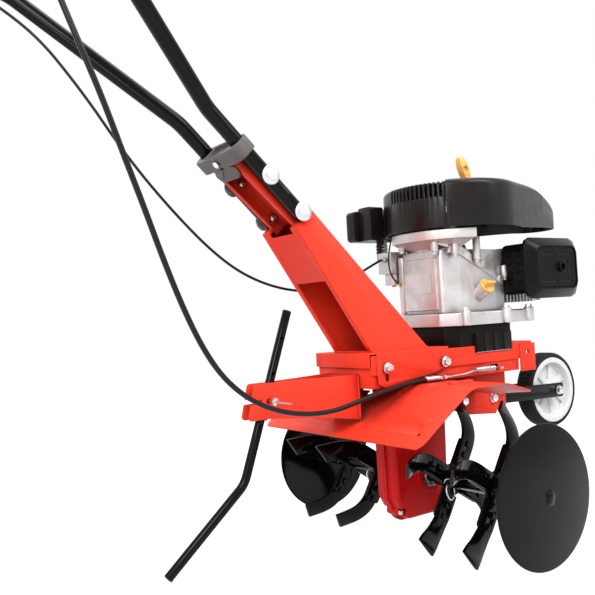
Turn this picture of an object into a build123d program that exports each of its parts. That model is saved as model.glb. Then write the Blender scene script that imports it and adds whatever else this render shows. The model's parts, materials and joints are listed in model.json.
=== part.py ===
from build123d import *
import math
import os

# Driving dimensions, in millimetres and degrees.
# The machine is drawn level: X forward, Y to its left, Z up, origin on the tine axle.
STAND_TILT = 4.0            # nose-up lean when it stands on its guards and stake
BOX_CENTRE_X = -247.8       # middle of the standing machine's length, seen from the axle
GUARD_R = 130.0             # dished plant guards, which carry the machine
GUARD_Y = 324.0
INNER_PLATE_Y = 104.0       # cross plates of the inner and outer tine sets
OUTER_PLATE_Y = 216.0
AXLE_D = 25.0
HUB_D = 34.0

SHEET = 3.0                 # folded steel sheet
DECK_TOP = 261.0
DECK_HALF = 84.0
DECK_X0 = -180.0
DECK_X1 = 300.0
RAIL_Z = 223.0              # where the deck's outer walls end
RAIL_LOW = 198.0            # lower edge of the inner rails

PIVOT_X = 13.0              # handle base pivot and its slot bolt
PIVOT_Z = 236.0
SLOT_RADIUS = 158.0
BASE_HALF = 87.5
FRONT_BORE_X = 282.0
COLUMN_HALF = 60.0
NECK_HALF = 39.5
TUBE_D = 28.0
TUBE_Y = 54.2
TUBE_SLOPE = 0.96           # rise of the lower tube runs for each unit of length

CASE_HALF = 32.0            # half thickness of the gear case

CRANK_X = 150.0             # crankshaft axis
ENGINE_Z = 306.0            # underside of the engine's sump
SHROUD_R = 150.0
SHROUD_Z0 = 514.0
SHROUD_Z1 = 614.0
NOSE_X = 426.0              # centre and radius of the shroud's nose, and where its top starts to fall
NOSE_R = 60.0
FALL_X = 258.0
WORM_AXIS_X = -58.0         # upright worm shaft, behind the axle

FORK_X = 112.0              # wheel fork pivot
FORK_Z = 141.0
WHEEL_X = 455.0
WHEEL_Z = 130.0
WHEEL_R = 91.0
WHEEL_W = 44.0

STAKE_D = 17.0
STAKE_TOP = (-310.0, 357.0)
STAKE_BEND = (-424.0, 48.0)
STAKE_END = (-583.0, -83.38)

WELD_LOW = 138.0            # lower edge of the stake bracket, just above the fender's apron
PIN_Z = 193.0
SPRING_Y = -95.5            # line of the clutch cable and its spring beside the deck
SPRING_Z = 211.0
CABLE_Z = 205.0


def block(x0, x1, y0, y1, z0, z1):
    """A box given by its limits."""
    return Pos((x0 + x1) / 2, (y0 + y1) / 2, (z0 + z1) / 2) * Box(abs(x1 - x0), abs(y1 - y0), abs(z1 - z0))


def rod(start, end, radius):
    """A round bar between two points."""
    start = Vector(*start)
    along = Vector(*end) - start
    plane = Plane(origin=start, z_dir=along)
    return extrude(plane * Circle(radius), amount=along.length)


def pipe(start, end, radius, bore):
    """A round bar with a bore right through it."""
    return rod(start, end, radius) - rod(start, end, bore)


def hexagon(start, end, across):
    """A hexagonal bar, for nuts and bolt heads, by its width across flats."""
    start = Vector(*start)
    along = Vector(*end) - start
    plane = Plane(origin=start, z_dir=along)
    return extrude(plane * RegularPolygon(across / math.sqrt(3), 6), amount=along.length)


def side_plate(points, y0, y1, radius=0.0):
    """A plate with an outline in XZ, between two Y planes."""
    corners = [(x, y0, z) for x, z in points]
    line = FilletPolyline(*corners, radius=radius, close=True) if radius else Polyline(*corners, close=True)
    return extrude(make_face(line), amount=y1 - y0, dir=(0, 1, 0))


def flat_plate(points, z0, z1, radius=0.0):
    """A plate with an outline in XY, between two Z planes."""
    corners = [(x, y, z0) for x, y in points]
    line = FilletPolyline(*corners, radius=radius, close=True) if radius else Polyline(*corners, close=True)
    return extrude(make_face(line), amount=z1 - z0, dir=(0, 0, 1))


def bent_bar(points, radii, diameter):
    """A round bar along straight runs joined by tangent arcs."""
    path = FilletPolyline(*points, radius=radii)
    return sweep(path.location_at(0) * Circle(diameter / 2), path=path)


def mirrored(shape):
    """The same shape on the other side of the middle plane."""
    return mirror(shape, about=Plane.XZ)


def both_sides(shape):
    """A shape and its mirror image, as separate solids."""
    return Compound(children=list(shape.solids()) + list(mirrored(shape).solids()))


def group(*shapes):
    """Several separate solids under one name."""
    return Compound(children=[solid for shape in shapes for solid in shape.solids()])


def flange_bolt(at, out, shank_end, thread=8.0, across=13.0, head=7.0):
    """A flanged bolt: head outside the point `at`, shank running in to `shank_end`."""
    at = Vector(*at)
    out = Vector(*out).normalized()
    washer = rod(at, at + out * 2.0, across * 0.66)
    cap = hexagon(at + out * 2.0, at + out * (2.0 + head), across)
    shank = rod(at - out * shank_end, at + out * 1.0, thread / 2)
    return washer + cap + shank


def tine_axis(y0, y1, radius):
    return rod((0, y0, 0), (0, y1, 0), radius)


# Deck, stake bracket and fender

def stake_axis(z):
    """The point of the drag stake's upper run at a height."""
    t = (z - STAKE_BEND[1]) / (STAKE_TOP[1] - STAKE_BEND[1])
    return (STAKE_BEND[0] + t * (STAKE_TOP[0] - STAKE_BEND[0]), 0.0, z)


def deck_frame():
    """Folded channel under the engine, with lower rails and a front bracket."""
    outer = block(DECK_X0, DECK_X1, -DECK_HALF, DECK_HALF, RAIL_Z, DECK_TOP)
    rail_half = DECK_HALF - SHEET
    inner = block(DECK_X0 + SHEET, DECK_X1 + 1, -rail_half, rail_half, RAIL_Z - 1, DECK_TOP - SHEET)
    deck = outer - inner
    rails = block(DECK_X0, 256, -rail_half, rail_half, RAIL_LOW, RAIL_Z + 12)
    rails -= block(DECK_X0 + SHEET, 257, -rail_half + SHEET, rail_half - SHEET, RAIL_LOW - 1, RAIL_Z + 13)
    deck += rails
    # Floor plate that carries the gear case and the fender.
    floor = block(DECK_X0, 256, -rail_half, rail_half, RAIL_LOW, RAIL_LOW + SHEET)
    floor -= block(-72, -8, -23, 23, RAIL_LOW - 1, RAIL_LOW + SHEET + 1)
    deck += floor
    # Opening for the crankshaft pulley, the belt and the driven pulley.
    deck -= block(CRANK_X - 45, CRANK_X + 45, -46, 46, DECK_TOP - 10, DECK_TOP + 1)
    # Side notches that the belt cover drops into.
    for side in (-1, 1):
        deck -= block(112, 230, side * (DECK_HALF - 11), side * (DECK_HALF + 1), 246, DECK_TOP + 1)
    # Front end angles with their bolt holes, and the welded cable tab.
    for side in (-1, 1):
        y = side * DECK_HALF
        deck += block(256, 308, y, y + side * 3, 194, 256)
    deck += block(-8, -2, -rail_half, -DECK_HALF - 17, 199, 213)
    deck -= rod((-20, SPRING_Y, CABLE_Z), (10, SPRING_Y, CABLE_Z), 4.2)
    # Slot in the right wall for the spring hook of the belt idler.
    deck -= block(160, 186, -DECK_HALF - 1, -DECK_HALF + 8, 203, 217)
    for x in (PIVOT_X, PIVOT_X - SLOT_RADIUS):
        deck -= rod((x, -120, PIVOT_Z), (x, 120, PIVOT_Z), 4.1)
    # Cross bore of the front bracket, for a weight or a bumper.
    return deck - rod((FRONT_BORE_X, -120, PIVOT_Z), (FRONT_BORE_X, 120, PIVOT_Z), 5.0)


def stake_bracket():
    """Two cheeks that run back from the deck and close on the drag stake."""
    block_half = 46.0
    cheek_plan = [(DECK_X0, block_half), (-205, block_half), (-352, 13.5), (-418, 13.5), (-418, 10.5),
                  (-350, 10.5), (-204, block_half - SHEET), (DECK_X0, block_half - SHEET)]
    plan = flat_plate(cheek_plan, 100, 240)
    height = [(DECK_X0, 226), (-400, 226), (-417, 160), (-372, 160), (-238, 148), (DECK_X0, WELD_LOW)]
    ears = side_plate(height, -60, 60)
    ears = fillet(ears.edges().filter_by(Axis.Y).filter_by(lambda e: e.center().X < -390), 7)
    ears -= block(-430, -384, -60, 60, PIN_Z - 4, PIN_Z + 4)
    cheek = plan & ears
    bracket = cheek + mirrored(cheek)
    # Rear weld plate against the deck and the round clamp that the stake slides in.
    bracket += block(DECK_X0 - SHEET, DECK_X0, -block_half, block_half, WELD_LOW, RAIL_LOW + 25)
    top, bottom = stake_axis(222), stake_axis(160)
    clamp = rod(bottom, top, STAKE_D / 2 + 4.0)
    bracket += clamp
    bracket -= rod(stake_axis(120), stake_axis(260), STAKE_D / 2 + 0.35)
    # Cross hole for the stake pin.
    pin = stake_axis(PIN_Z)
    bracket -= rod((pin[0], -40, pin[2]), (pin[0], 40, pin[2]), 4.3)
    return bracket


def fender():
    """Pressed sheet over the tines: level top, sloping rear apron, ribs and a raised centre."""
    gauge = 2.0
    top, low = RAIL_LOW, 104.0
    outline = [(150, 158), (18, top), (-80, top), (-222, low + 3), (-220.9, low + 1.3), (-79.4, top - gauge),
               (17.7, top - gauge), (149.4, 158 - gauge)]
    sheet = side_plate(outline, -244, 244)
    crease = sheet.edges().filter_by(Axis.Y).filter_by(lambda e: -90 < e.center().X < 30)
    sheet = fillet(crease, 60)
    plan = [(-226, -244), (92, -244), (150, -96), (150, 96), (92, 244), (-226, 244)]
    sheet &= flat_plate(plan, 80, 220, 24)
    # Stiffening ribs pressed into the level part, and the bosses of the rear corners.
    for side in (-1, 1):
        rib = Pos(-26, side * 165, top) * Rot(0, 90, 0) * Cylinder(7, 60)
        sheet += rib & block(-100, 100, -244, 244, top - gauge, top + 5)
        boss = Plane(origin=(-163.5, side * 205, 142.5), z_dir=(-0.54, 0, 0.84)) * Circle(14)
        sheet += extrude(boss, amount=7, taper=30)
        sheet -= rod((-206, side * 214, 80), (-186, side * 214, 140), 3.6)
    # Clearance for the gear case.
    sheet -= block(-112, 92, -15, 15, 80, 240) + block(-102, 82, -41, 41, 80, 240)
    # Clearance for the plates of the wheel bracket.
    return sheet - block(80, 151, -46, 46, 80, 240)


# Gear case and drive

CASE_OUTLINE = [(-88, 240), (-86, -38), (-62, -84), (22, -84), (62, -46), (72, 240)]
LIP_OUTLINE = [(-94, 240), (-92, -40), (-66, -90), (26, -90), (68, -50), (78, 240)]
CASE_BOLTS = [(-68, -68), (32, -70), (-84, 150), (70, 150)]
WHEEL_PITCH = 42.0


def gear_case_half(side):
    """One half of the gear case: walls, lip at the parting plane, axle boss, shaft bore and ribs."""
    far = side * CASE_HALF
    shell = side_plate(CASE_OUTLINE, min(0, far), max(0, far), 22)
    outer_edges = shell.edges().filter_by(lambda e: abs(e.center().Y - far) < 0.1 and e.center().Z < 190)
    shell = fillet(outer_edges, 9)
    lip = side_plate(LIP_OUTLINE, min(0, side * 6), max(0, side * 6), 24)
    half = shell + lip - block(-120, 120, -60, 60, RAIL_LOW, 260)
    half += tine_axis(side * 20, side * 44, 36)
    # Room for the worm wheel and for the upright worm shaft, with a bearing seat at top and bottom.
    half -= tine_axis(side * -1, side * 17, WHEEL_PITCH + 7)
    half -= rod((WORM_AXIS_X, 0, -52), (WORM_AXIS_X, 0, 176), 15.5)
    half -= rod((WORM_AXIS_X, 0, 150), (WORM_AXIS_X, 0, 240), 20)
    half -= tine_axis(side * 16, side * 60, AXLE_D / 2 + 4.5)
    half -= tine_axis(side * 37, side * 60, 24)
    # Upper chamber between the deck and the worm bearing stays open, with cast ribs.
    half -= block(-10, 62, min(side * -1, side * 24), max(side * -1, side * 24), 62, 190)
    for x, z in CASE_BOLTS:
        half += rod((x, 0, z), (x, side * 16, z), 9)
        half -= rod((x, side * 16, z), (x, side * 60, z), 8.8)
        half -= rod((x, side * -1, z), (x, side * 18, z), 3.3)
    return half


def case_bolts():
    """Flanged bolts along the lip of the case."""
    return group(*[flange_bolt((x, -16, z), (0, -1, 0), 30, 6.4, 10, 5) for x, z in CASE_BOLTS])


def worm_wheel():
    """Bronze wheel with a toothed rim, keyed to the tine axle."""
    teeth = 28
    rim = tine_axis(-9, 9, WHEEL_PITCH - 3)
    tooth_plan = [(-2.6, 0), (2.6, 0), (1.2, 7), (-1.2, 7)]
    for i in range(teeth):
        tooth = side_plate([(x, z + WHEEL_PITCH - 4) for x, z in tooth_plan], -8, 8)
        rim += Rot(0, i * 360 / teeth, 0) * tooth
    rim += tine_axis(-14, 14, 22)
    return rim - tine_axis(-20, 20, AXLE_D / 2)


def tine_axle():
    """Through shaft with a key flat and cross holes for the linch pins."""
    shaft = tine_axis(-300, 300, AXLE_D / 2)
    for side in (-1, 1):
        shaft -= rod((-30, side * 124, 0), (30, side * 124, 0), 4.05)
        shaft -= rod((-30, side * 240, 0), (30, side * 240, 0), 4.05)
    return shaft


def axle_bushes():
    """Flanged bushes that the axle turns in."""
    bush = pipe((0, 20, 0), (0, 36.5, 0), AXLE_D / 2 + 4.5, AXLE_D / 2 + 0.05)
    return both_sides(bush)


def axle_seals():
    """Shaft seals pressed into the case bosses."""
    seal = pipe((0, 37, 0), (0, 46, 0), 24, AXLE_D / 2 + 0.3)
    seal -= pipe((0, 43, 0), (0, 47, 0), 21, AXLE_D / 2 + 3)
    return both_sides(seal)


def worm_shaft():
    """Upright input shaft with its worm body, journals and pulley seat."""
    shaft = rod((WORM_AXIS_X, 0, -46), (WORM_AXIS_X, 0, 252), 8.5)
    shaft += rod((WORM_AXIS_X, 0, -30), (WORM_AXIS_X, 0, 30), 11.5)
    shaft += rod((WORM_AXIS_X, 0, 190), (WORM_AXIS_X, 0, 228), 10)
    return shaft


def worm_bearings():
    """The two bearings of the worm shaft."""
    low = pipe((WORM_AXIS_X, 0, -48), (WORM_AXIS_X, 0, -34), 15.5, 8.55)
    high = pipe((WORM_AXIS_X, 0, 160), (WORM_AXIS_X, 0, 174), 20, 8.55)
    return group(low, high)


def pulley(x, z, radius, bore, hub_r, height=22.0):
    """A V-belt pulley on an upright shaft."""
    half = height / 2
    profile = [(bore, -half), (radius, -half), (radius, -half + 3), (radius - 10, -3), (radius - 10, 3),
               (radius, half - 3), (radius, half), (bore, half)]
    face = make_face(Polyline(*[(r, 0, h) for r, h in profile], close=True))
    wheel = revolve(face, Axis.Z)
    wheel += pipe((0, 0, -half), (0, 0, half + 4), hub_r, bore)
    return Pos(x, 0, z) * wheel


BELT_Z = 239.0
DRIVE_R = 36.0
DRIVEN_R = 56.0


def v_belt():
    """Slack drive belt lying loose in both grooves."""
    gap = 4.0
    r0, r1 = DRIVE_R - 10 + gap, DRIVEN_R - 10 + gap
    span = CRANK_X - WORM_AXIS_X
    lean = math.asin((r1 - r0) / span)

    def loop(extra):
        a, b = r0 + extra, r1 + extra
        pts = {}
        for side in (-1, 1):
            pts[side] = ((CRANK_X - a * math.sin(lean), side * a * math.cos(lean)),
                         (WORM_AXIS_X - b * math.sin(lean), side * b * math.cos(lean)))
        front = ThreePointArc((*pts[-1][0], 0), (CRANK_X + a, 0, 0), (*pts[1][0], 0))
        back = ThreePointArc((*pts[1][1], 0), (WORM_AXIS_X - b, 0, 0), (*pts[-1][1], 0))
        upper = Line((*pts[1][0], 0), (*pts[1][1], 0))
        lower = Line((*pts[-1][1], 0), (*pts[-1][0], 0))
        return make_face(Wire([front, upper, back, lower]))

    belt = extrude(loop(8), amount=7, dir=(0, 0, 1)) - extrude(loop(0), amount=7, dir=(0, 0, 1))
    return Pos(0, 0, BELT_Z - 3.5) * belt


# Tine rotor

BAR_W = 36.0                # tine bar width and thickness
BAR_T = 6.0
INNER_PHASE = 32.0          # turn of the tine roots below the forward direction
OUTER_PHASE = 33.0
RIVET_R = (54.0, 77.0)
HOOK_FROM = 68.0            # where a blade starts to curve within its plane, and how
HOOK_R = 95.0
HOOK_TURN = 42.0
SWEEP_FROM = 84.0           # where it starts to sweep sideways, and how
SWEEP_R = 100.0
SWEEP_TURN = 34.0


def curved_strip(start, radius, turn, way, half, tail):
    """Corners and pieces of a strip that runs along +X and then curves to one side in its plane."""
    angle = math.radians(turn)
    centre = (start, way * radius)
    reach = 2 * (radius + half)
    wedge = [centre, (start, centre[1] - way * reach),
             (start + reach * math.sin(angle), centre[1] - way * reach * math.cos(angle))]
    end = Vector(start + radius * math.sin(angle), way * radius * (1 - math.cos(angle)))
    along = Vector(math.cos(angle), way * math.sin(angle))
    across = Vector(-along.Y, along.X) * half
    corners = [end + across, end - across, end - across + along * tail[0], end + across + along * tail[1]]
    return centre, wedge, [(c.X, c.Y) for c in corners]


def tine(hook, sweep_way):
    """One tine: flat root along +X, blade curved within its plane, its tip swept sideways."""
    half = BAR_W / 2
    wide = 80.0
    centre, wedge, tip = curved_strip(HOOK_FROM, HOOK_R, HOOK_TURN, hook, half, (30, 22))
    (cx, cz) = centre
    bow = pipe((cx, -wide, cz), (cx, wide, cz), HOOK_R + half, HOOK_R - half)
    outline = block(30, HOOK_FROM, -wide, wide, -half, half) + (bow & side_plate(wedge, -wide, wide))
    outline += side_plate(tip, -wide, wide)
    gauge = BAR_T / 2
    tall = 120.0
    centre, wedge, tail = curved_strip(SWEEP_FROM, SWEEP_R, SWEEP_TURN, sweep_way, gauge, (80, 80))
    (cx, cy) = centre
    bow = pipe((cx, cy, -tall), (cx, cy, tall), SWEEP_R + gauge, SWEEP_R - gauge)
    sheet = block(20, SWEEP_FROM, -gauge, gauge, -tall, tall) + (bow & flat_plate(wedge, -tall, tall))
    sheet += flat_plate(tail, -tall, tall)
    blade = outline & sheet
    for r in RIVET_R:
        blade -= rod((r, -10, 0), (r, 10, 0), 4.0)
    return blade


def placed_tines(plate_y, phase):
    """Four tines on the outer face of a cross plate, curved and swept by turns."""
    side = 1 if plate_y > 0 else -1
    offset = plate_y + side * (3 + BAR_T / 2)
    hooks = (-1, -1, 1, 1)
    sweeps = (-side, side, side, -side)
    blades = [Rot(0, phase + 90 * k, 0) * tine(hooks[k], sweeps[k]) for k in range(4)]
    return group(*[Pos(0, offset, 0) * blade for blade in blades])


def tine_hub(plate_y, y0, y1, phase):
    """Hub tube with its welded cross plate and the hole of its cross pin."""
    plate = tine_axis(plate_y - 3, plate_y + 3, 32)
    for turn in (0, 90):
        arm = block(-SWEEP_FROM, SWEEP_FROM, plate_y - 3, plate_y + 3, -19, 19)
        arm = fillet(arm.edges().filter_by(Axis.Y), 8)
        plate += Rot(0, turn + phase, 0) * arm
    hub = plate + tine_axis(y0, y1, HUB_D / 2)
    hub -= tine_axis(y0 - 1 if y0 < y1 else y0 + 1, y1 + 1 if y0 < y1 else y1 - 1, AXLE_D / 2 + 0.05)
    for turn in (0, 90, 180, 270):
        for r in RIVET_R:
            hub -= Rot(0, turn + phase, 0) * rod((r, plate_y - 4, 0), (r, plate_y + 4, 0), 4.0)
    side = 1 if plate_y > 0 else -1
    for y in (124, 240):
        hub -= rod((-30, side * y, 0), (30, side * y, 0), 4.05)
    return hub


def tine_rivets():
    """Two headed rivets for each tine."""
    rivets = []
    for plate_y, phase in ((INNER_PLATE_Y, INNER_PHASE), (OUTER_PLATE_Y, OUTER_PHASE)):
        for side in (-1, 1):
            inner = side * (plate_y - 3)
            outer = side * (plate_y + 3 + BAR_T)
            rivet = rod((0, inner, 0), (0, outer, 0), 3.95)
            rivet += rod((0, inner - side * 3, 0), (0, inner, 0), 6.5)
            rivet += rod((0, outer, 0), (0, outer + side * 3, 0), 6.5)
            for turn in range(4):
                for r in RIVET_R:
                    rivets.append(Rot(0, phase + 90 * turn, 0) * Pos(r, 0, 0) * rivet)
    return group(*rivets)


def plant_guard(side):
    """Dished disc with a raised centre, on a stub tube that fits over the axle."""
    crown, nub = GUARD_Y + 9, GUARD_Y + 13
    rim = Line((GUARD_R, GUARD_Y), (GUARD_R, GUARD_Y + 3))
    outside = ThreePointArc((GUARD_R, GUARD_Y + 3), (72, crown + 0.5), (13, crown + 3))
    centre = Polyline((13, crown + 3), (8, nub + 2), (0, nub + 2), (0, nub - 2), (8, nub - 2), (12, crown))
    inside = ThreePointArc((12, crown), (72, crown - 2.5), (GUARD_R, GUARD_Y))
    face = make_face([rim, outside, centre, inside])
    disc = revolve(face, Axis.Y)
    stub = pipe((0, 229, 0), (0, crown + 1, 0), 17, AXLE_D / 2 + 0.05)
    stub -= rod((-30, 240, 0), (30, 240, 0), 4.05)
    guard = disc + stub
    return guard if side > 0 else mirrored(guard)


def linch_pins():
    """Cross pins with their wire rings, two on each side of the axle."""
    pins = []
    for y in (124, 240):
        pin = rod((-26, y, 0), (26, y, 0), 4.0)
        pin += rod((-30, y, 0), (-26, y, 0), 6.5)
        loop = Pos(-24, y, 0) * Torus(13, 1.5)
        ring = loop & block(-60, -23.2, y - 40, y + 40, -5, 5)
        pins.append(pin + rod((-29.5, y - 11, 0), (-29.5, y + 11, 0), 1.5) + ring)
    return both_sides(group(*pins))


# Handle

TUBE_RUN = Vector(-1, 0, TUBE_SLOPE).normalized()
TUBE_BOLT = Vector(-308, 0, 538.6)       # lower handle bolt, on the tube's centre line
BOLT_PITCH = 93.0
COLLAR_S = (147.0, 176.0)                # collar's reach along the tube, from the lower bolt
BEND_S = 251.0
HANDLE_SPLAY = Vector(-270, 134.5, 246)  # from the bend to the start of the grip run
GRIP_RUN = Vector(-200, 24, 20)
BASE_TOP = 266.5
COLUMN_OUTLINE = [(-155, BASE_TOP), (-3, BASE_TOP), (-283, 544), (-318, 510)]


def on_tube(s, y=0.0, across=0.0):
    """A point at a distance along the lower tube run, and to its front side."""
    point = TUBE_BOLT + TUBE_RUN * s + Vector(TUBE_RUN.Z, 0, -TUBE_RUN.X) * across
    return (point.X, y, point.Z)


def xz(point):
    return (point[0], point[2])


def handle_column():
    """Saddle base and tapered box column of folded sheet, stepped in for the tubes."""
    inner_half = BASE_HALF - SHEET
    side = [(-166, BASE_TOP), (28, BASE_TOP), (28, 226), (8, 221), (-20, 214), (-150, 198), (-166, 206)]
    saddle = side_plate(side, -BASE_HALF, BASE_HALF)
    saddle -= block(-200, 60, -inner_half, inner_half, 150, BASE_TOP - SHEET)
    saddle += block(-186, -160, -inner_half, inner_half, BASE_TOP - SHEET, BASE_TOP)
    saddle += block(-186, -183, -inner_half, inner_half, 238, BASE_TOP)
    saddle = saddle - rod((PIVOT_X, -120, PIVOT_Z), (PIVOT_X, 120, PIVOT_Z), 4.1)
    # Slots for the rear bolts, as arcs about the pivot.
    for turn in range(0, 9):
        slot = rod((PIVOT_X - SLOT_RADIUS, -120, PIVOT_Z), (PIVOT_X - SLOT_RADIUS, 120, PIVOT_Z), 4.3)
        saddle -= slot.rotate(Axis((PIVOT_X, 0, PIVOT_Z), (0, 1, 0)), -turn)
    column = side_plate(COLUMN_OUTLINE, -COLUMN_HALF, COLUMN_HALF)
    core = [(-150.5, BASE_TOP), (-10, BASE_TOP), (-281, 536), (-312, 507.5)]
    column -= side_plate(core, -COLUMN_HALF + SHEET, COLUMN_HALF - SHEET)
    neck = [xz(on_tube(-30, 0, -16)), xz(on_tube(-30, 0, 13)), xz(on_tube(COLLAR_S[0] - 1, 0, 13)),
            xz(on_tube(COLLAR_S[0] - 1, 0, -24))]
    neck_core = [xz(on_tube(-31, 0, -30)), xz(on_tube(-31, 0, 10)), xz(on_tube(COLLAR_S[0], 0, 10)),
                 xz(on_tube(COLLAR_S[0], 0, -30))]
    column += side_plate(neck, -NECK_HALF, NECK_HALF)
    column -= side_plate(neck_core, -NECK_HALF + SHEET, NECK_HALF - SHEET)
    # Rolled rear edges of the neck, and the long window low in the rear face.
    lip = [xz(on_tube(-14, 0, -17.5)), xz(on_tube(-14, 0, -14.5)), xz(on_tube(COLLAR_S[0] - 1, 0, -21)),
           xz(on_tube(COLLAR_S[0] - 1, 0, -24))]
    for hand in (-1, 1):
        column += side_plate(lip, hand * (NECK_HALF - 9), hand * NECK_HALF)
    window = [(-163, 269), (-140, 269), (-240, 412), (-262, 406)]
    column -= side_plate(window, -COLUMN_HALF + 13, COLUMN_HALF - 13)
    for s in (0, BOLT_PITCH):
        column -= rod(on_tube(s, -80), on_tube(s, 80), 4.1)
    return saddle + column


def handle_tube(side):
    """Bent round tube from the column to the grip."""
    start = Vector(*on_tube(-12, TUBE_Y))
    bend = Vector(*on_tube(BEND_S, TUBE_Y))
    shoulder = bend + HANDLE_SPLAY
    path = FilletPolyline(start, bend, shoulder, shoulder + GRIP_RUN, radius=(75, 90))
    section = Circle(TUBE_D / 2) - Circle(TUBE_D / 2 - 2)
    tube = sweep(path.location_at(0) * section, path=path)
    for s in (0, BOLT_PITCH):
        tube -= rod(on_tube(s, 30), on_tube(s, 80), 4.1)
    return tube if side > 0 else mirrored(tube)


def grip_frame(distance):
    """Point and direction on the left grip run, measured from its bend."""
    bend = Vector(*on_tube(BEND_S, TUBE_Y)) + HANDLE_SPLAY
    along = GRIP_RUN.normalized()
    return bend + along * distance, along


def grip(side):
    """Moulded sleeve with a flange and a closed end."""
    root, along = grip_frame(78)
    end, _ = grip_frame(GRIP_RUN.length)
    sleeve = rod(root, end + along * 4, 17.5) + rod(root, root + along * 5, 22)
    sleeve += rod(end - along * 4, end + along * 4, 20)
    sleeve -= rod(root - along, end, TUBE_D / 2 + 0.05)
    return sleeve if side > 0 else mirrored(sleeve)


def tube_collar():
    """Moulded collar that ties both tubes to the top of the column."""
    s0, s1 = COLLAR_S
    plane = Plane(origin=on_tube(s0), x_dir=(0, 1, 0), z_dir=TUBE_RUN)
    back, front = -29.0, 19.0
    section = Pos(0, -(back + front) / 2) * RectangleRounded(2 * TUBE_Y + TUBE_D + 10, front - back, 18)
    collar = extrude(plane * section, amount=s1 - s0)
    # Rounded lobe that hangs over the neck's open rear side.
    rear = Plane(origin=on_tube(s0, 0, back), x_dir=(0, 1, 0), z_dir=Vector(TUBE_RUN.Z, 0, -TUBE_RUN.X))
    drop = 27.0
    lobe = make_face(FilletPolyline((-46, 0), (-30, -drop), (30, -drop), (46, 0), radius=12, close=True))
    collar += extrude(rear * lobe, amount=4.4)
    # Pocket in the upper end, between the tubes.
    pocket = [xz(on_tube(s1 - 8, 0, -21)), xz(on_tube(s1 - 8, 0, 11)), xz(on_tube(s1 + 1, 0, 11)),
              xz(on_tube(s1 + 1, 0, -21))]
    collar -= side_plate(pocket, -36, 36)
    for hand in (-1, 1):
        collar -= rod(on_tube(s0 - 1, hand * TUBE_Y), on_tube(s1 + 1, hand * TUBE_Y), TUBE_D / 2 + 0.05)
    collar -= rod(on_tube((s0 + s1) / 2, 0, -60), on_tube((s0 + s1) / 2, 0, 60), 4.0)
    return collar


def collar_bolt():
    """Bolt through the middle of the collar, with its nut."""
    mid = (COLLAR_S[0] + COLLAR_S[1]) / 2
    bolt = rod(on_tube(mid, 0, -34), on_tube(mid, 0, 34), 3.95)
    bolt += hexagon(on_tube(mid, 0, 19), on_tube(mid, 0, 26), 13)
    bolt += hexagon(on_tube(mid, 0, -34.5), on_tube(mid, 0, -29), 13)
    return bolt


def handle_bolts():
    """Mushroom-headed bolts that hold the tubes, with nuts inside the column."""
    bolts = []
    for s in (0, BOLT_PITCH):
        head_y = TUBE_Y + TUBE_D / 2
        bolt = rod(on_tube(s, 28), on_tube(s, head_y), 4.0)
        dome = Plane(origin=on_tube(s, head_y), z_dir=(0, 1, 0)) * Circle(15)
        bolt += extrude(dome, amount=5, taper=35)
        bolt += hexagon(on_tube(s, 29), on_tube(s, NECK_HALF - SHEET), 13)
        bolts.append(bolt)
    return both_sides(group(*bolts))


def base_bolts(x):
    """Flanged bolts that hold the handle base to the deck, one on each side."""
    bolt = flange_bolt((x, BASE_HALF, PIVOT_Z), (0, 1, 0), 14, 8.0, 13, 6)
    bolt += hexagon((x, DECK_HALF - 12.5, PIVOT_Z), (x, DECK_HALF - SHEET - SHEET, PIVOT_Z), 13)
    return both_sides(bolt)


LEVER_AT = 46.0             # lever clamps, measured along the grip run
LEVER_DROP = 30.0


def lever_pivot(side):
    """Centre of a hand lever's pivot below the tube."""
    centre, along = grip_frame(LEVER_AT)
    pivot = Vector(centre.X, side * centre.Y, centre.Z - LEVER_DROP)
    return pivot, Vector(along.X, side * along.Y, along.Z)


def lever_clamp():
    """Clamp and fork for the clutch lever on the right tube."""
    pivot, along = lever_pivot(-1)
    centre = pivot + Vector(0, 0, LEVER_DROP)
    clamp = pipe(centre - along * 14, centre + along * 14, 19, TUBE_D / 2 + 0.05)
    across = along.cross(Vector(0, 0, 1)).normalized()
    for hand in (-1, 1):
        cheek = Plane(origin=pivot + across * (hand * 9 - 2), z_dir=across, x_dir=along)
        plate = Circle(9) + Pos(0, LEVER_DROP / 2 - 4) * Rectangle(16, LEVER_DROP - 8)
        clamp += extrude(cheek * plate, amount=4)
    clamp -= rod(centre - along * 15, centre + along * 15, TUBE_D / 2 + 0.05)
    # Arm towards the middle with the stop that holds the cable's end.
    arm = Plane(origin=pivot + across * 21 + Vector(0, 0, 8), x_dir=along, z_dir=(0, 0, 1))
    clamp += extrude(arm * Rectangle(14, 26), amount=4)
    stop = pivot + across * 30
    clamp += rod(stop + Vector(0, 0, 16), Vector(stop.X, stop.Y, CLUTCH_ROUTE[0][2] + 1), 7)
    return clamp - rod(pivot - across * 20, pivot + across * 20, 3.05)


def lever_pin():
    """Pivot pin of the clutch lever."""
    pivot, along = lever_pivot(-1)
    across = along.cross(Vector(0, 0, 1)).normalized()
    pin = rod(pivot - across * 13, pivot + across * 13, 3.0)
    return pin + rod(pivot + across * 11.2, pivot + across * 13, 5)


def clutch_lever():
    """Bent hand lever that hangs below the right grip."""
    pivot, along = lever_pivot(-1)
    across = along.cross(Vector(0, 0, 1)).normalized()
    frame = Plane(origin=pivot - across * 6, x_dir=along, z_dir=across)
    outline = [(-12, -8), (14, -9), (60, -22), (150, -34), (156, -26), (150, -22), (62, -8), (16, 7),
               (-8, 8)]
    if frame.y_dir.dot(Vector(0, 0, 1)) < 0:
        outline = [(u, -v) for u, v in outline]
    lever = extrude(frame * make_face(FilletPolyline(*outline, radius=3.5, close=True)), amount=12)
    return lever - rod(pivot - across * 20, pivot + across * 20, 3.06)


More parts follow.
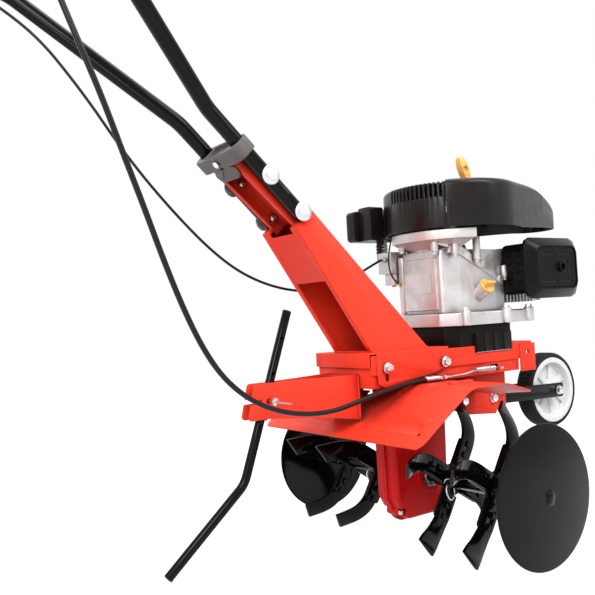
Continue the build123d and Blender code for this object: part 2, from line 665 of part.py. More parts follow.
def throttle_housing():
    """Clamp and round housing of the throttle control on the left tube."""
    centre, along = grip_frame(LEVER_AT)
    up = Vector(0, 0, 1)
    clamp = pipe(centre - along * 12, centre + along * 12, 18.5, TUBE_D / 2 + 0.05)
    clamp += rod(centre + up * 16, centre + up * 24, 20)
    clamp -= rod(centre - along * 22, centre + along * 22, TUBE_D / 2 + 0.05)
    clamp += rod(centre + up * 23, centre + up * 36, 4.0)
    # Spigot below the tube that the cable comes out of.
    mouth = Vector(*THROTTLE_ROUTE[0])
    root = centre - up * 22.5
    return clamp + rod(root, mouth + (root - mouth).normalized() * 2, 5.5)


def throttle_lever():
    """Thumb lever on the throttle housing."""
    centre, along = grip_frame(LEVER_AT)
    flat = Vector(along.X, along.Y, 0).normalized()
    frame = Plane(origin=centre + Vector(0, 0, 24.3), x_dir=flat, z_dir=(0, 0, 1))
    disc = extrude(frame * Circle(14), amount=6)
    arm = extrude(frame * (Pos(0, -26) * RectangleRounded(12, 46, 5)), amount=6)
    return disc + arm - rod(centre + Vector(0, 0, 10), centre + Vector(0, 0, 60), 4.06)


# Front wheel

def wheel_bracket():
    """Two hanging plates with latch notches, joined by a top flange."""
    plate = side_plate([(98, RAIL_LOW), (252, RAIL_LOW), (250, 116), (236, 100), (100, 112)], 40, 43)
    plate -= rod((FORK_X, 30, FORK_Z), (FORK_X, 60, FORK_Z), 5.05)
    plate -= rod((LATCH_X, 30, FORK_Z - 3), (LATCH_X, 60, FORK_Z - 3), 5.1)
    for x, z in ((222, 104), (244, 108)):
        plate -= rod((x, 30, z), (x, 60, z), 6)
    top = block(153, 252, -43, 43, RAIL_LOW - 3, RAIL_LOW)
    return plate + mirrored(plate) + top


def wheel_fork():
    """Two flat bars joined by a spacer tube, carrying the wheel between them."""
    half = 17.0
    lean = math.atan2(WHEEL_Z - FORK_Z, WHEEL_X - FORK_X)
    reach = math.hypot(WHEEL_X - FORK_X, WHEEL_Z - FORK_Z)
    bar = side_plate([(-16, -half), (reach + 20, -half), (reach + 20, half), (-16, half)], 30, 35, 6)
    bar -= rod((0, 20, 0), (0, 50, 0), 5.1)
    bar -= rod((reach, 20, 0), (reach, 50, 0), 6.0)
    spacer = pipe((150, -30, 0), (150, 30, 0), 10, 7)
    fork = bar + mirrored(bar) + spacer
    return Pos(FORK_X, 0, FORK_Z) * Rot(0, -math.degrees(lean), 0) * fork


def fork_bolt():
    """Pivot bolt of the wheel fork, with its nut."""
    bolt = rod((FORK_X, -47, FORK_Z), (FORK_X, 49, FORK_Z), 5.0)
    bolt += hexagon((FORK_X, -50, FORK_Z), (FORK_X, -43, FORK_Z), 16)
    return bolt + hexagon((FORK_X, 43, FORK_Z), (FORK_X, 50, FORK_Z), 16)


LATCH_X = 207.0


def latch_bolt():
    """Bolt of the fork's latch on the outer face of the right bracket plate."""
    return flange_bolt((LATCH_X, -43, FORK_Z - 3), (0, -1, 0), 4.5, 10.0, 16, 6)


def wheel_axle():
    """Axle bolt with nut and washers."""
    axle = rod((WHEEL_X, -44, WHEEL_Z), (WHEEL_X, 46, WHEEL_Z), 6.0)
    axle += rod((WHEEL_X, -38, WHEEL_Z), (WHEEL_X, -35, WHEEL_Z), 11)
    axle += hexagon((WHEEL_X, -45, WHEEL_Z), (WHEEL_X, -38, WHEEL_Z), 17)
    return axle + hexagon((WHEEL_X, 35, WHEEL_Z), (WHEEL_X, 43, WHEEL_Z), 17)


def wheel_turned(profile):
    """A turned shape about the wheel's axle, from radius and width pairs."""
    face = make_face(Polyline(*[(r, y, 0) for r, y in profile], close=True))
    return Pos(WHEEL_X, 0, WHEEL_Z) * revolve(face, Axis.Y)


def wheel_rim():
    """Moulded rim: hub, web with pockets between seven spokes, and a channel for the tyre."""
    half = WHEEL_W / 2
    rim = wheel_turned([(6.05, -26), (16, -26), (16, -8), (66, -8), (66, -half + 1), (79, -half + 1),
                        (79, -half + 6), (73, -half + 9), (73, half - 9), (79, half - 6), (79, half - 1),
                        (66, half - 1), (66, 8), (16, 8), (16, 26), (6.05, 26)])
    spokes = 7
    window = [(24, -5), (60, -17), (60, 17), (24, 5)]
    for i in range(spokes):
        pocket = both_sides(side_plate(window, 3, 40, 4))
        rim -= Pos(WHEEL_X, 0, WHEEL_Z) * Rot(0, i * 360 / spokes, 0) * pocket
    return rim


def tyre():
    """Solid tyre with a rounded tread face, seated in the rim's channel."""
    half = WHEEL_W / 2
    return wheel_turned([(73.2, -half + 9.3), (79.3, -half + 6.3), (79.3, -half), (86, -half),
                         (90, -half + 5), (WHEEL_R, -6), (WHEEL_R, 6), (90, half - 5), (86, half),
                         (79.3, half), (79.3, half - 6.3), (73.2, half - 9.3)])


# Drag stake

SLOT_BELOW = 27.0           # reach of the pin's slot below and above the pin
SLOT_ABOVE = 19.0


def drag_stake():
    """Bent round bar with three cross holes and a cut foot."""
    top = (STAKE_TOP[0], 0, STAKE_TOP[1])
    bend = (STAKE_BEND[0], 0, STAKE_BEND[1])
    foot = (STAKE_END[0], 0, STAKE_END[1])
    path = FilletPolyline(top, bend, foot, radius=55)
    bar = sweep(path.location_at(0) * (Circle(STAKE_D / 2) - Circle(STAKE_D / 2 - 2.5)), path=path)
    for lift in (-45, 47, 112):
        at = stake_axis(PIN_Z + lift)
        bar -= rod((at[0], -20, at[2]), (at[0], 20, at[2]), 4.2)
    # Slot for the pin, inside the clamp.
    low, high = stake_axis(PIN_Z - SLOT_BELOW), stake_axis(PIN_Z + SLOT_ABOVE)
    ends = [rod((p[0], -20, p[2]), (p[0], 20, p[2]), 4.2) for p in (low, high)]
    middle = (Vector(*low) + Vector(*high)) * 0.5
    run = Vector(*high) - Vector(*low)
    frame = Plane(origin=middle + Vector(0, -20, 0), x_dir=run, z_dir=(0, 1, 0))
    return bar - ends - extrude(frame * Rectangle(run.length, 8.4), amount=40)


def stake_pin():
    """Pull pin with a bent wire handle, through the clamp and the stake."""
    x, _, z = stake_axis(PIN_Z)
    pin = rod((x, -34, z), (x, 26, z), 4.0)
    handle = rod((x, -31, z), (x + 38, -31, z - 8), 2.0)
    return pin + handle + rod((x, -36, z), (x, -33, z), 7)


# Springs

def coil(start, end, radius, wire, turns):
    """A tension spring of half-turn biarcs along X, with a short straight run at each end."""
    (x0, y, z), (x1, _, _) = start, end
    pitch = (x1 - x0) / turns
    rise = pitch / (2 * math.pi)
    slope = math.hypot(radius, rise)

    def at(turn):
        angle = turn * 2 * math.pi
        point = Vector(x0 + pitch * turn, y + radius * math.cos(angle), z + radius * math.sin(angle))
        return point, Vector(rise, -radius * math.sin(angle), radius * math.cos(angle)) / slope

    first, lead = at(0)
    arcs = [Line(first - lead * wire, first)]
    for half in range(2 * turns):
        (p0, t0), (p1, t1) = at(half / 2), at(half / 2 + 0.5)
        chord, both = p1 - p0, t0 + t1
        spread = 2 * (1 - t0.dot(t1))
        pull = chord.dot(both)
        reach = (math.sqrt(pull * pull + spread * chord.dot(chord)) - pull) / spread
        joint = (p0 + p1 + (t0 - t1) * reach) * 0.5
        across = (p1 - t1 * reach) - (p0 + t0 * reach)
        arcs.append(TangentArc(p0, joint, tangent=t0))
        arcs.append(TangentArc(joint, p1, tangent=across.normalized()))
    last, trail = at(turns)
    arcs.append(Line(last, last + trail * wire))
    path = Wire(arcs)
    # Least room between neighbouring turns, measured on points of the winding.
    points = [path.position_at(i / (turns * 24)) for i in range(turns * 24 + 1)]
    room = min((p - q).length for i, p in enumerate(points) for q in points[i + 18:i + 31])
    print("spring gap", round(room - wire, 2))
    section = Plane(origin=path @ 0, z_dir=path % 0) * Circle(wire / 2)
    return sweep(section, path=path)


def clutch_spring():
    """Tension spring between the cable's rod and the belt idler."""
    return coil((96, SPRING_Y, SPRING_Z), (156, SPRING_Y, SPRING_Z), 5.2, 2.0, 18)


# Engine

def ring_points(points):
    """An outline on one side of the engine's middle plane, closed by its mirror image."""
    return points + [(x, -y) for x, y in reversed(points)]


def belt_cover():
    """Moulded housing between the deck and the engine, with boxes that drop into the deck's notches."""
    outline = ring_points([(46, -60), (72, -80), (236, -80), (262, -56)])
    inside = ring_points([(50, -57), (74, -76), (234, -76), (258, -54)])
    cover = flat_plate(outline, DECK_TOP, ENGINE_Z, 8) - flat_plate(inside, DECK_TOP - 1, ENGINE_Z - 4)
    for side in (-1, 1):
        cover += block(113, 229, side * 74, side * 88, 247, DECK_TOP + 26)
        cover -= block(117, 225, side * 70, side * 84.5, 240, DECK_TOP + 22)
        for x in (140, 171, 202):
            cover += block(x - 1.5, x + 1.5, side * 88, side * 90, 247, DECK_TOP + 26)
    return cover - rod((CRANK_X, 0, 250), (CRANK_X, 0, 320), 52)


SUMP_TOP = 334.0
CASE_TOP = 470.0


def sump():
    """Cast base of the engine with its bolt ears."""
    outline = ring_points([(38, -56), (66, -90), (240, -96), (300, -84), (322, -36)])
    casting = flat_plate(outline, ENGINE_Z, SUMP_TOP, 16)
    casting = fillet(casting.edges().group_by(Axis.Z)[-1], 4)
    inner = ring_points([(48, -50), (72, -80), (236, -84), (290, -70)])
    casting -= flat_plate(inner, ENGINE_Z + 8, SUMP_TOP + 1)
    for x, y in SUMP_BOLTS:
        for side in (-1, 1):
            casting += rod((x, side * y, ENGINE_Z), (x, side * y, SUMP_TOP + 3), 11)
            casting -= rod((x, side * y, ENGINE_Z - 1), (x, side * y, SUMP_TOP + 4), 4.1)
    return casting - rod((CRANK_X, 0, 290), (CRANK_X, 0, 340), 13.1)


SUMP_BOLTS = [(82, 92), (205, 98), (296, 86)]


def crankcase():
    """Cast crankcase: flat rear face, round sides, diagonal parting flange and a flared top."""
    plan = ring_points([(50, -58), (96, -70), (205, -70), (250, -60)])
    body = flat_plate(plan, SUMP_TOP, CASE_TOP, 10)
    # Fan housing rim on the rear half: a shallow bowl that ends in an upright wall.
    rim = rod((CRANK_X, 0, CASE_TOP - 4), (CRANK_X, 0, CASE_TOP + 4), 100)
    rim += Pos(CRANK_X, 0, CASE_TOP + 12) * Cone(96, 140, 20)
    rim += rod((CRANK_X, 0, CASE_TOP + 20), (CRANK_X, 0, CASE_TOP + 40), 140)
    rim -= Pos(CRANK_X, 0, CASE_TOP + 16) * Cone(90, 136, 22)
    rim -= rod((CRANK_X, 0, CASE_TOP + 26), (CRANK_X, 0, CASE_TOP + 42), 136)
    body += rim & block(0, 92, -200, 58, 400, 520)
    # Diagonal parting flange on the right, and bolt bosses on both sides.
    body += side_plate([(58, 462), (66, 478), (98, 478), (230, 406), (226, 392), (94, 462)], -66, -75)
    for side in (-1, 1):
        for x, z in ((164, 437), (219, 404)):
            body += rod((x, side * 60, z), (x, side * 78, z), 8)
    # Raised pad on the rear face, oil filler boss on the right.
    body += block(46, 52, -46, 52, SUMP_TOP + 8, CASE_TOP - 16)
    body += rod((150, -60, 366), (150, -92, 386), 15)
    hollow = ring_points([(58, -52), (100, -63), (203, -63), (243, -53)])
    body -= flat_plate(hollow, SUMP_TOP - 1, CASE_TOP - 8)
    return body - rod((CRANK_X, 0, 300), (CRANK_X, 0, 520), 13.1)


def dipstick():
    """Oil filler cap with its finger tab."""
    axis = Vector(0, -32, 20).normalized()
    seat = Vector(150, -92, 386)
    cap = rod(seat, seat + axis * 6, 17)
    tab = Plane(origin=seat + axis * 6, z_dir=axis, x_dir=(1, 0, 0)) * RectangleRounded(26, 6, 2.5)
    return cap + extrude(tab, amount=14)


def cylinder_block():
    """Cylinder with cooling fins, pointing forward."""
    core = rod((250.5, 0, 412), (344, 0, 412), 42)
    for i in range(8):
        x = 256 + i * 11.5
        core += block(x, x + 3, -60, 60, 350, 474)
    return core


def cylinder_head():
    """Finned head with its gasket face."""
    head = block(344.5, 358, -60, 60, 350, 474) + block(358, 384, -44, 44, 362, 462)
    for i in range(3):
        head += block(360 + i * 8, 363 + i * 8, -58, 58, 352, 472)
    return head - rod((371, 40, 412), (371, 80, 412), 7.0)


def valve_cover():
    """Pressed cover on the front of the head."""
    plane = Plane(origin=(384, 0, 412), z_dir=(1, 0, 0), x_dir=(0, 1, 0))
    return extrude(plane * RectangleRounded(92, 96, 16), amount=26, taper=12)


def spark_plug():
    """Plug with its boot, on the left of the head."""
    plug = rod((371, 40, 412), (371, 62, 412), 6.9) + hexagon((371, 60, 412), (371, 68, 412), 20)
    return plug + rod((371, 68, 412), (371, 96, 412), 8.5) + rod((371, 88, 412), (371, 88, 436), 8)


GUARD_BOX = (232.0, 414.0, -152.0, -64.0, 355.0, 490.0)


def muffler():
    """Flat pressed muffler beside the cylinder, with its outlet pipe."""
    wall = 2.0
    box = fillet(block(246, 402, -138, -70, 368, 478).edges(), 10)
    room = block(246 + wall, 402 - wall, -138 + wall, -70 - wall, 368 + wall, 478 - wall)
    box -= fillet(room.edges(), 8)
    pipe_out = pipe((336, -136, 423), (336, -156, 423), 11, 8)
    return box + pipe_out + block(262, 384, -71, -61, 398, 448)


def muffler_guard():
    """Bevelled guard with louvres on its face and rear side."""
    x0, x1, y0, y1, z0, z1 = GUARD_BOX
    shell = block(x0, x1, y0, y1, z0, z1)
    face_edges = shell.faces().sort_by(Axis.Y)[0].edges()
    shell = chamfer(face_edges, 20)
    long_edges = shell.edges().filter_by(Axis.Y)
    shell = fillet(long_edges, 14)
    room = block(x0 + 3, x1 - 3, y0 + 3, y1 + 1, z0 + 3, z1 - 3)
    room = chamfer(room.faces().sort_by(Axis.Y)[0].edges(), 19)
    guard = shell - fillet(room.edges().filter_by(Axis.Y), 11)
    for row in range(4):
        z = z0 + 30 + row * 22
        for a, b in ((262, 300), (356, 384)):
            guard -= block(a, b, y0 - 1, y0 + 5, z, z + 9)
        for a, b in ((-138, -116), (-108, -86)):
            guard -= block(x0 - 1, x0 + 5, a, b, z + 2, z + 12)
    return guard - rod((336, -160, 423), (336, -140, 423), 15)


def hull_plan(grow):
    """Teardrop plan of the shroud: a large circle over the fan and a small one over the head."""
    r0, r1, span = SHROUD_R + grow, NOSE_R + grow, NOSE_X - CRANK_X
    big = Pos(CRANK_X, 0) * Circle(r0)
    small = Pos(NOSE_X, 0) * Circle(r1)
    lean = math.acos((r0 - r1) / span)
    corners = [(CRANK_X + r0 * math.cos(lean), r0 * math.sin(lean)),
               (NOSE_X + r1 * math.cos(lean), r1 * math.sin(lean))]
    web = make_face(Polyline(*corners, *[(x, -y) for x, y in reversed(corners)], close=True))
    return big + small + web


def shroud_solid(grow, top):
    """Teardrop body with a rounded top that falls towards the nose."""
    body = extrude(Pos(0, 0, SHROUD_Z0) * hull_plan(grow), amount=top - SHROUD_Z0)
    body = fillet(body.edges().group_by(Axis.Z)[-1], 14 + grow)
    low, end = SHROUD_Z0 + 28, NOSE_X + NOSE_R + grow
    slope = math.sqrt(0.5)
    crest = (FALL_X + (end - FALL_X) * slope, low + (top - low) * slope)
    fall = Spline((FALL_X, top), crest, (end, low), tangents=((1, 0), (0, -1)))
    frame = Polyline((end, low), (end + 60, low), (end + 60, top + 60), (FALL_X, top + 60), (FALL_X, top))
    face = make_face([fall, frame])
    cut = extrude(Plane.XZ * face, amount=400, both=True)
    return body - cut


REAR_SECTOR = [(CRANK_X + 20, -16), (-110, -187), (-110, 240), (CRANK_X + 60, 240)]
CHIN = [(250, 500), (520, 500), (520, 529), (440, 526), (250, SHROUD_Z0)]
GRIP_BAY = (130, 182, -84, -40, 584, 700)


def shroud_shell(grow, top):
    """Open-bottomed wall of the shroud."""
    return shroud_solid(grow, top) - Pos(0, 0, -3) * shroud_solid(grow - 3, top)


def blower_shroud():
    """Smooth front shell of the shroud, its lower edge raised towards the nose."""
    shell = shroud_shell(0, SHROUD_Z1)
    shell -= flat_plate(REAR_SECTOR, 480, 700)
    shell -= rod((CRANK_X, 0, 560), (CRANK_X, 0, 700), 92)
    shell -= side_plate(CHIN, -200, 200)
    return shell - block(*GRIP_BAY)


def recoil_cover():
    """Vented rear shell with a row of upright slots and the flat starter cover."""
    shell = shroud_shell(-3, SHROUD_Z1 - 3)
    shell &= flat_plate([(CRANK_X + 19, -15), (-110, -185), (-110, 240), (CRANK_X + 59, 240)], 480, 700)
    slots = 13
    for i in range(slots):
        turn = -37 + i * 4.1
        slot = block(-20, 30, -2.4, 2.4, 578, 640)
        shell -= Pos(CRANK_X, 0, 0) * Rot(0, 0, -turn) * Pos(-SHROUD_R, 0, 0) * slot
    cover_z = SHROUD_Z1 - 7
    dome = pipe((CRANK_X, 0, cover_z), (CRANK_X, 0, SHROUD_Z1 + 1), 91.5, 20)
    for i in range(16):
        vent = Pos(58, 0, cover_z + 4) * Box(44, 6, 20)
        if abs(i - 12) > 1:
            dome -= Pos(CRANK_X, 0, 0) * Rot(0, 0, i * 22.5) * vent
    dome += rod((CRANK_X, 0, cover_z), (CRANK_X, 0, SHROUD_Z1 + 3), 24)
    return shell + dome - block(*GRIP_BAY)


GRIP_AT = (156.0, -62.0, 598.0)


def starter_rope():
    """Starter cord from the reel up into the grip."""
    x, y, z = GRIP_AT
    return rod((x, y, z - 36), (x, y, z - 2.2), 2.2)


def starter_grip():
    """Tapered pull grip with finger grooves, leaning back from its recess."""
    lean = Vector(-0.4, 0, 0.92).normalized()
    base = Vector(*GRIP_AT)
    plane = Plane(origin=base, z_dir=lean, x_dir=(0, 1, 0))
    body = extrude(plane * RectangleRounded(15, 20, 5), amount=30)
    body += extrude(plane.offset(28) * RectangleRounded(22, 28, 6), amount=48, taper=6)
    return body - extrude(plane.offset(44) * Rectangle(8, 60), amount=12)


def air_filter_base():
    """Filter case against the shroud's left side."""
    case = fillet(block(-4, 112, 96, 138, 508, 584).edges().filter_by(Axis.X), 6)
    return case - rod((CRANK_X, 0, 480), (CRANK_X, 0, 700), SHROUD_R + 0.4)


def air_filter_cover():
    """Clip-on filter cover."""
    cover = block(-18, 98, 138.2, 170, 508, 578)
    return fillet(cover.edges().filter_by(lambda e: e.center().Y > 150), 9)


def carburettor():
    """Carburettor body, float bowl, throttle arm and flange on the left of the crankcase."""
    body = block(30, 78, 72, 116, 430, 478) + rod((54, 94, 404), (54, 94, 431), 19)
    body += rod((54, 94, 400), (54, 94, 405), 5) + block(58, 76, 65.2, 73, 436, 462)
    return body + rod((24, 96, 462), (31, 96, 462), 6) + block(22, 25, 84, 100, 458, 466)


def intake_pipe():
    """Ribbed elbow between the filter and the carburettor."""
    path = FilletPolyline((54, 116, 456), (54, 128, 456), (54, 128, 508), radius=11)
    elbow = sweep(path.location_at(0) * Circle(12), path=path)
    for z in (481, 488.5, 496):
        elbow += rod((54, 128, z), (54, 128, z + 3), 14)
    return elbow


def fuel_tank():
    """Moulded tank low on the left, ahead of the carburettor."""
    tank = fillet(block(176, 330, 112, 182, 420, 508).edges(), 14)
    return tank + pipe((250, 156, 504), (250, 156, 520), 19, 15) + block(256, 318, 60, 114, 440, 446)


def fuel_cap():
    """Ribbed fuel cap."""
    cap = rod((250, 156, 520.4), (250, 156, 537), 24)
    for i in range(12):
        cap -= Pos(250, 156, 0) * Rot(0, 0, i * 30) * rod((25.5, 0, 522), (25.5, 0, 540), 3)
    return cap


def crankshaft():
    """Upright crankshaft between the starter cup and the drive pulley."""
    return rod((CRANK_X, 0, 226), (CRANK_X, 0, 606), 13.0)


def flywheel():
    """Flywheel fan with the starter cup on top."""
    wheel = pipe((CRANK_X, 0, 544), (CRANK_X, 0, 552), 96, 13.0)
    blades = 16
    for i in range(blades):
        blade = Pos(76, 0, 561) * Box(34, 3, 20)
        wheel += Pos(CRANK_X, 0, 0) * Rot(0, 0, i * 360 / blades) * blade
    cup = pipe((CRANK_X, 0, 552), (CRANK_X, 0, 604), 42, 38)
    return wheel + cup + pipe((CRANK_X, 0, 552), (CRANK_X, 0, 560), 42, 13)


def engine_bolts():
    """Bolts of the sump's ears."""
    bolts = [flange_bolt((x, y, SUMP_TOP + 3), (0, 0, 1), 30.9, 8, 13, 5) for x, y in SUMP_BOLTS]
    return both_sides(group(*bolts))


# Clutch linkage inside and beside the deck

IDLER_PIVOT = (176.0, -40.0)
IDLER_AXLE = (60.0, -65.0)
IDLER_Z = 208.0


def idler_arm():
    """Bell crank with the idler's axle and a tail for the clutch spring."""
    x, y = IDLER_PIVOT
    px, py = IDLER_AXLE
    arm = flat_plate([(x + 9, y + 9), (x - 9, y + 9), (px - 9, py + 9), (px - 9, py - 7), (x - 8, y - 14),
                      (x - 4, -101), (x + 4, -101), (x + 9, y - 9)], IDLER_Z, IDLER_Z + 4)
    arm += rod((px, py, IDLER_Z + 4), (px, py, 252), 4.0)
    arm -= rod((x, -95.5, 200), (x, -95.5, 220), 2.2)
    return arm - rod((x, y, 200), (x, y, 220), 5.06)


def idler_pulley():
    """Flat-faced idler."""
    x, y = IDLER_AXLE
    return pipe((x, y, 229), (x, y, 249), 11, 4.05)


def idler_bolt():
    """Shoulder bolt that the idler arm turns on."""
    x, y = IDLER_PIVOT
    bolt = rod((x, y, RAIL_LOW + SHEET), (x, y, 214), 5.0) + rod((x, y, 212.5), (x, y, 216), 9)
    return bolt + rod((x, y, RAIL_LOW + SHEET), (x, y, IDLER_Z - 0.5), 9)


def clutch_rod():
    """Adjuster on the cable tab, with its nuts and the rod to the spring."""
    y, z = SPRING_Y, CABLE_Z
    barrel = rod((-52, y, z), (-14, y, z), 6.5) + rod((-14, y, z), (16, y, z), 4.0)
    barrel += hexagon((-15, y, z), (-8.2, y, z), 12) + hexagon((-1.8, y, z), (5, y, z), 12)
    return barrel + bent_bar([(14, y, z), (60, y, z + 1), (92, y, SPRING_Z)], 30, 4.0)


# Free cables

CLUTCH_ROUTE = [(-808, -164.6, 918), (-802, -166, 882), (-788, -172, 838), (-772, -180, 786),
                (-752, -188, 726), (-727, -190, 661), (-700, -184, 592), (-668, -178, 512),
                (-640, -171, 440), (-609, -164, 368), (-576, -156, 306), (-539, -149, 256),
                (-490, -140, 217), (-432, -132, 190), (-370, -125, 176), (-305, -120, 173),
                (-238, -114, 184), (-168, -106, 195), (-105, -98, 202), (-52.5, -95.5, 205)]
CLUTCH_D = 9.0
THROTTLE_ROUTE = [(-780, 191.5, 936), (-742, 180, 909), (-697, 160, 861), (-658, 147, 806), (-620, 138, 750),
                  (-583, 132, 692), (-543, 126, 636), (-499, 122, 583), (-452, 120, 533), (-403, 116, 485),
                  (-349, 108, 442), (-287, 101, 413), (-220, 97, 398), (-151, 96, 397), (-84, 96, 412),
                  (-23, 96, 444), (21, 96, 462)]
THROTTLE_D = 5.5
ARC_SHARE = 0.45


def cable(name, route, diameter):
    """A cable along its route, with each arc as large as its two runs allow."""
    points = [Vector(*p) for p in route]
    runs = [b - a for a, b in zip(points, points[1:])]
    radii = []
    for before, after in zip(runs, runs[1:]):
        half_turn = math.radians(before.get_angle(after)) / 2
        radii.append(ARC_SHARE * min(before.length, after.length) / math.tan(half_turn))
    path = FilletPolyline(*points, radius=radii)
    solid = sweep(path.location_at(0) * Circle(diameter / 2), path=path)
    section = math.pi * diameter ** 2 / 4
    print(name, "length", round(path.length), "least radius", round(min(radii)), "volume share",
          round(solid.volume / (section * path.length), 4))
    return solid


def nodes():
    """Every named node of the machine, drawn level."""
    hub_left = group(tine_hub(INNER_PLATE_Y, 48, 129, INNER_PHASE),
                     tine_hub(OUTER_PLATE_Y, 130, 228, OUTER_PHASE))
    tines_left = group(placed_tines(INNER_PLATE_Y, INNER_PHASE), placed_tines(OUTER_PLATE_Y, OUTER_PHASE))
    table = {
        "deck_frame": deck_frame(),
        "stake_bracket": stake_bracket(),
        "fender": fender(),
        "gear_case_left": gear_case_half(1),
        "gear_case_right": gear_case_half(-1),
        "case_bolts": case_bolts(),
        "case_bearings": group(axle_bushes(), worm_bearings(), axle_seals()),
        "wheel_bracket": wheel_bracket(),
        "deck_bolts": group(base_bolts(PIVOT_X), base_bolts(PIVOT_X - SLOT_RADIUS), fork_bolt(),
                            latch_bolt(), idler_bolt(), engine_bolts()),
        "clutch_rod": clutch_rod(),
        "clutch_spring": clutch_spring(),
        "v_belt": v_belt(),
        "belt_cover": belt_cover(),
        "sump": sump(),
        "crankcase": crankcase(),
        "dipstick": dipstick(),
        "cylinder_block": cylinder_block(),
        "cylinder_head": group(cylinder_head(), valve_cover(), spark_plug()),
        "muffler": muffler(),
        "muffler_guard": muffler_guard(),
        "blower_shroud": blower_shroud(),
        "recoil_cover": recoil_cover(),
        "air_filter": group(air_filter_base(), air_filter_cover()),
        "carburettor": group(carburettor(), intake_pipe()),
        "fuel_tank": fuel_tank(),
        "starter_rope": starter_rope(),
        "clutch_cable": cable("clutch cable", CLUTCH_ROUTE, CLUTCH_D),
        "throttle_cable": cable("throttle cable", THROTTLE_ROUTE, THROTTLE_D),
        "handle_column": handle_column(),
        "tube_collar": tube_collar(),
        "handle_bolts": group(handle_bolts(), collar_bolt()),
        "lever_clamp": group(lever_clamp(), lever_pin()),
        "throttle_housing": throttle_housing(),
        "clutch_lever": clutch_lever(),
        "throttle_lever": throttle_lever(),
        "tine_axle": tine_axle(),
        "worm_wheel": worm_wheel(),
        "tine_hubs_left": hub_left,
        "tine_hubs_right": mirrored(hub_left),
        "tines_left": tines_left,
        "tines_right": mirrored(tines_left),
        "rotor_fasteners": group(tine_rivets(), linch_pins()),
        "worm_shaft": group(worm_shaft(), pulley(WORM_AXIS_X, BELT_Z, DRIVEN_R, 8.5, 18)),
        "crankshaft": group(crankshaft(), flywheel(), pulley(CRANK_X, BELT_Z, DRIVE_R, 13, 20)),
        "idler_arm": idler_arm(),
        "idler_pulley": idler_pulley(),
        "wheel_fork": wheel_fork(),
        "wheel_axle": wheel_axle(),
        "wheel_rim": wheel_rim(),
        "tyre": tyre(),
        "drag_stake": drag_stake(),
        "stake_pin": stake_pin(),
        "starter_grip": starter_grip(),
        "fuel_cap": fuel_cap(),
    }
    for name, side in (("left", 1), ("right", -1)):
        table["handle_tube_" + name] = handle_tube(side)
        table["grip_" + name] = grip(side)
        table["plant_guard_" + name] = plant_guard(side)
    return table


def main():
    """Stands the machine on the ground and writes one file for each node."""
    stand = Pos(-BOX_CENTRE_X, 0, GUARD_R) * Rot(0, -STAND_TILT, 0)
    os.makedirs("parts", exist_ok=True)
    low, high = [], []
    for name, shape in nodes().items():
        standing = stand * shape
        box = standing.bounding_box()
        low.append(box.min)
        high.append(box.max)
        export_step(standing, os.path.join("parts", name + ".step"))
    print("standing box from", [round(min(p), 2) for p in zip(*[tuple(v) for v in low])],
          "to", [round(max(p), 2) for p in zip(*[tuple(v) for v in high])])


if __name__ == "__main__":
    main()
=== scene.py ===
import json
import math

import bmesh
import bpy
from bpy.props import FloatProperty, FloatVectorProperty, PointerProperty
from mathutils import Matrix, Vector

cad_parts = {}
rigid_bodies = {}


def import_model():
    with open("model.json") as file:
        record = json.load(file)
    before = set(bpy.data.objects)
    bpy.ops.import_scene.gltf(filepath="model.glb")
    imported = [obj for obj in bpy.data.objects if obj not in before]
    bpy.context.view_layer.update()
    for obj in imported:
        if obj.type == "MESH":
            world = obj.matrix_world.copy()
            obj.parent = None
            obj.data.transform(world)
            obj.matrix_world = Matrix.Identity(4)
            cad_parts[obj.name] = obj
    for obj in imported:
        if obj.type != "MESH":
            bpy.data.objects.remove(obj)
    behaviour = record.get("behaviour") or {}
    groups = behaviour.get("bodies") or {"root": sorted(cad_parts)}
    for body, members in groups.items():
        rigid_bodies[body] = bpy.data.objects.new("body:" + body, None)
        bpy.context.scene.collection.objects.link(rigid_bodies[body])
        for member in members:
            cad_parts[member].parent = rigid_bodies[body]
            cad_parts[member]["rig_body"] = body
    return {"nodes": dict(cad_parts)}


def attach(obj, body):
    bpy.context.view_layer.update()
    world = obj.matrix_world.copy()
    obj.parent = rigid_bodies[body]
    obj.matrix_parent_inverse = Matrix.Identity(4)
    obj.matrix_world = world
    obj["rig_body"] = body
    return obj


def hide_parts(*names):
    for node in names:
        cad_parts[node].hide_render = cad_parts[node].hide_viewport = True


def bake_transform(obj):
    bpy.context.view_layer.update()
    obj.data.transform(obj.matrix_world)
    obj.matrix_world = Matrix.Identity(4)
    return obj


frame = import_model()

bl_info = {
    "name": "Garden tiller",
    "version": (1, 0, 0),
    "blender": (4, 5, 0),
    "location": "View3D > Sidebar > Tiller",
    "description": "Finishes the tiller's pieces and sets up its studio",
    "category": "Object",
}

NODES = frame["nodes"]
BODY_OF = {node: obj["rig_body"] for node, obj in NODES.items()}

# The machine leans nose-up when it stands, and its own level frame has its origin on the tine axle.
LEAN = math.radians(4.0)
STANDING = Matrix.Translation((0.2478, 0.0, 0.130)) @ Matrix.Rotation(-LEAN, 4, "Y")
LEVEL = STANDING.inverted()
MM = 0.001
SIDES = (-1, 1)

SHARP = 32.0            # edges with a larger angle than this, in degrees, are rounded
SMOOTH = 35.0           # faces that meet at a smaller angle are shaded as one
NODE_MERGE = 0.000004   # points of a plain node that are closer than this, in metres, are one
PIECE_MERGE = 0.00001   # the same for a made piece
NODE_FLAT = math.radians(0.4)   # faces of a plain node that turn less than this are one

# Rounding, in metres, of the pieces that don't share their group's.
ROUNDING = {
    "handle_tube": 0.0004, "tube_collar": 0.0022, "handle_bolts": 0.0012, "grip": 0.0014, "tines": 0.0009,
    "tine_hubs": 0.0008, "plant_guard": 0.0012, "wheel_rim": 0.0011, "drag_stake": 0.0005,
    "stake_pin": 0.0006, "muffler": 0.0012,
}

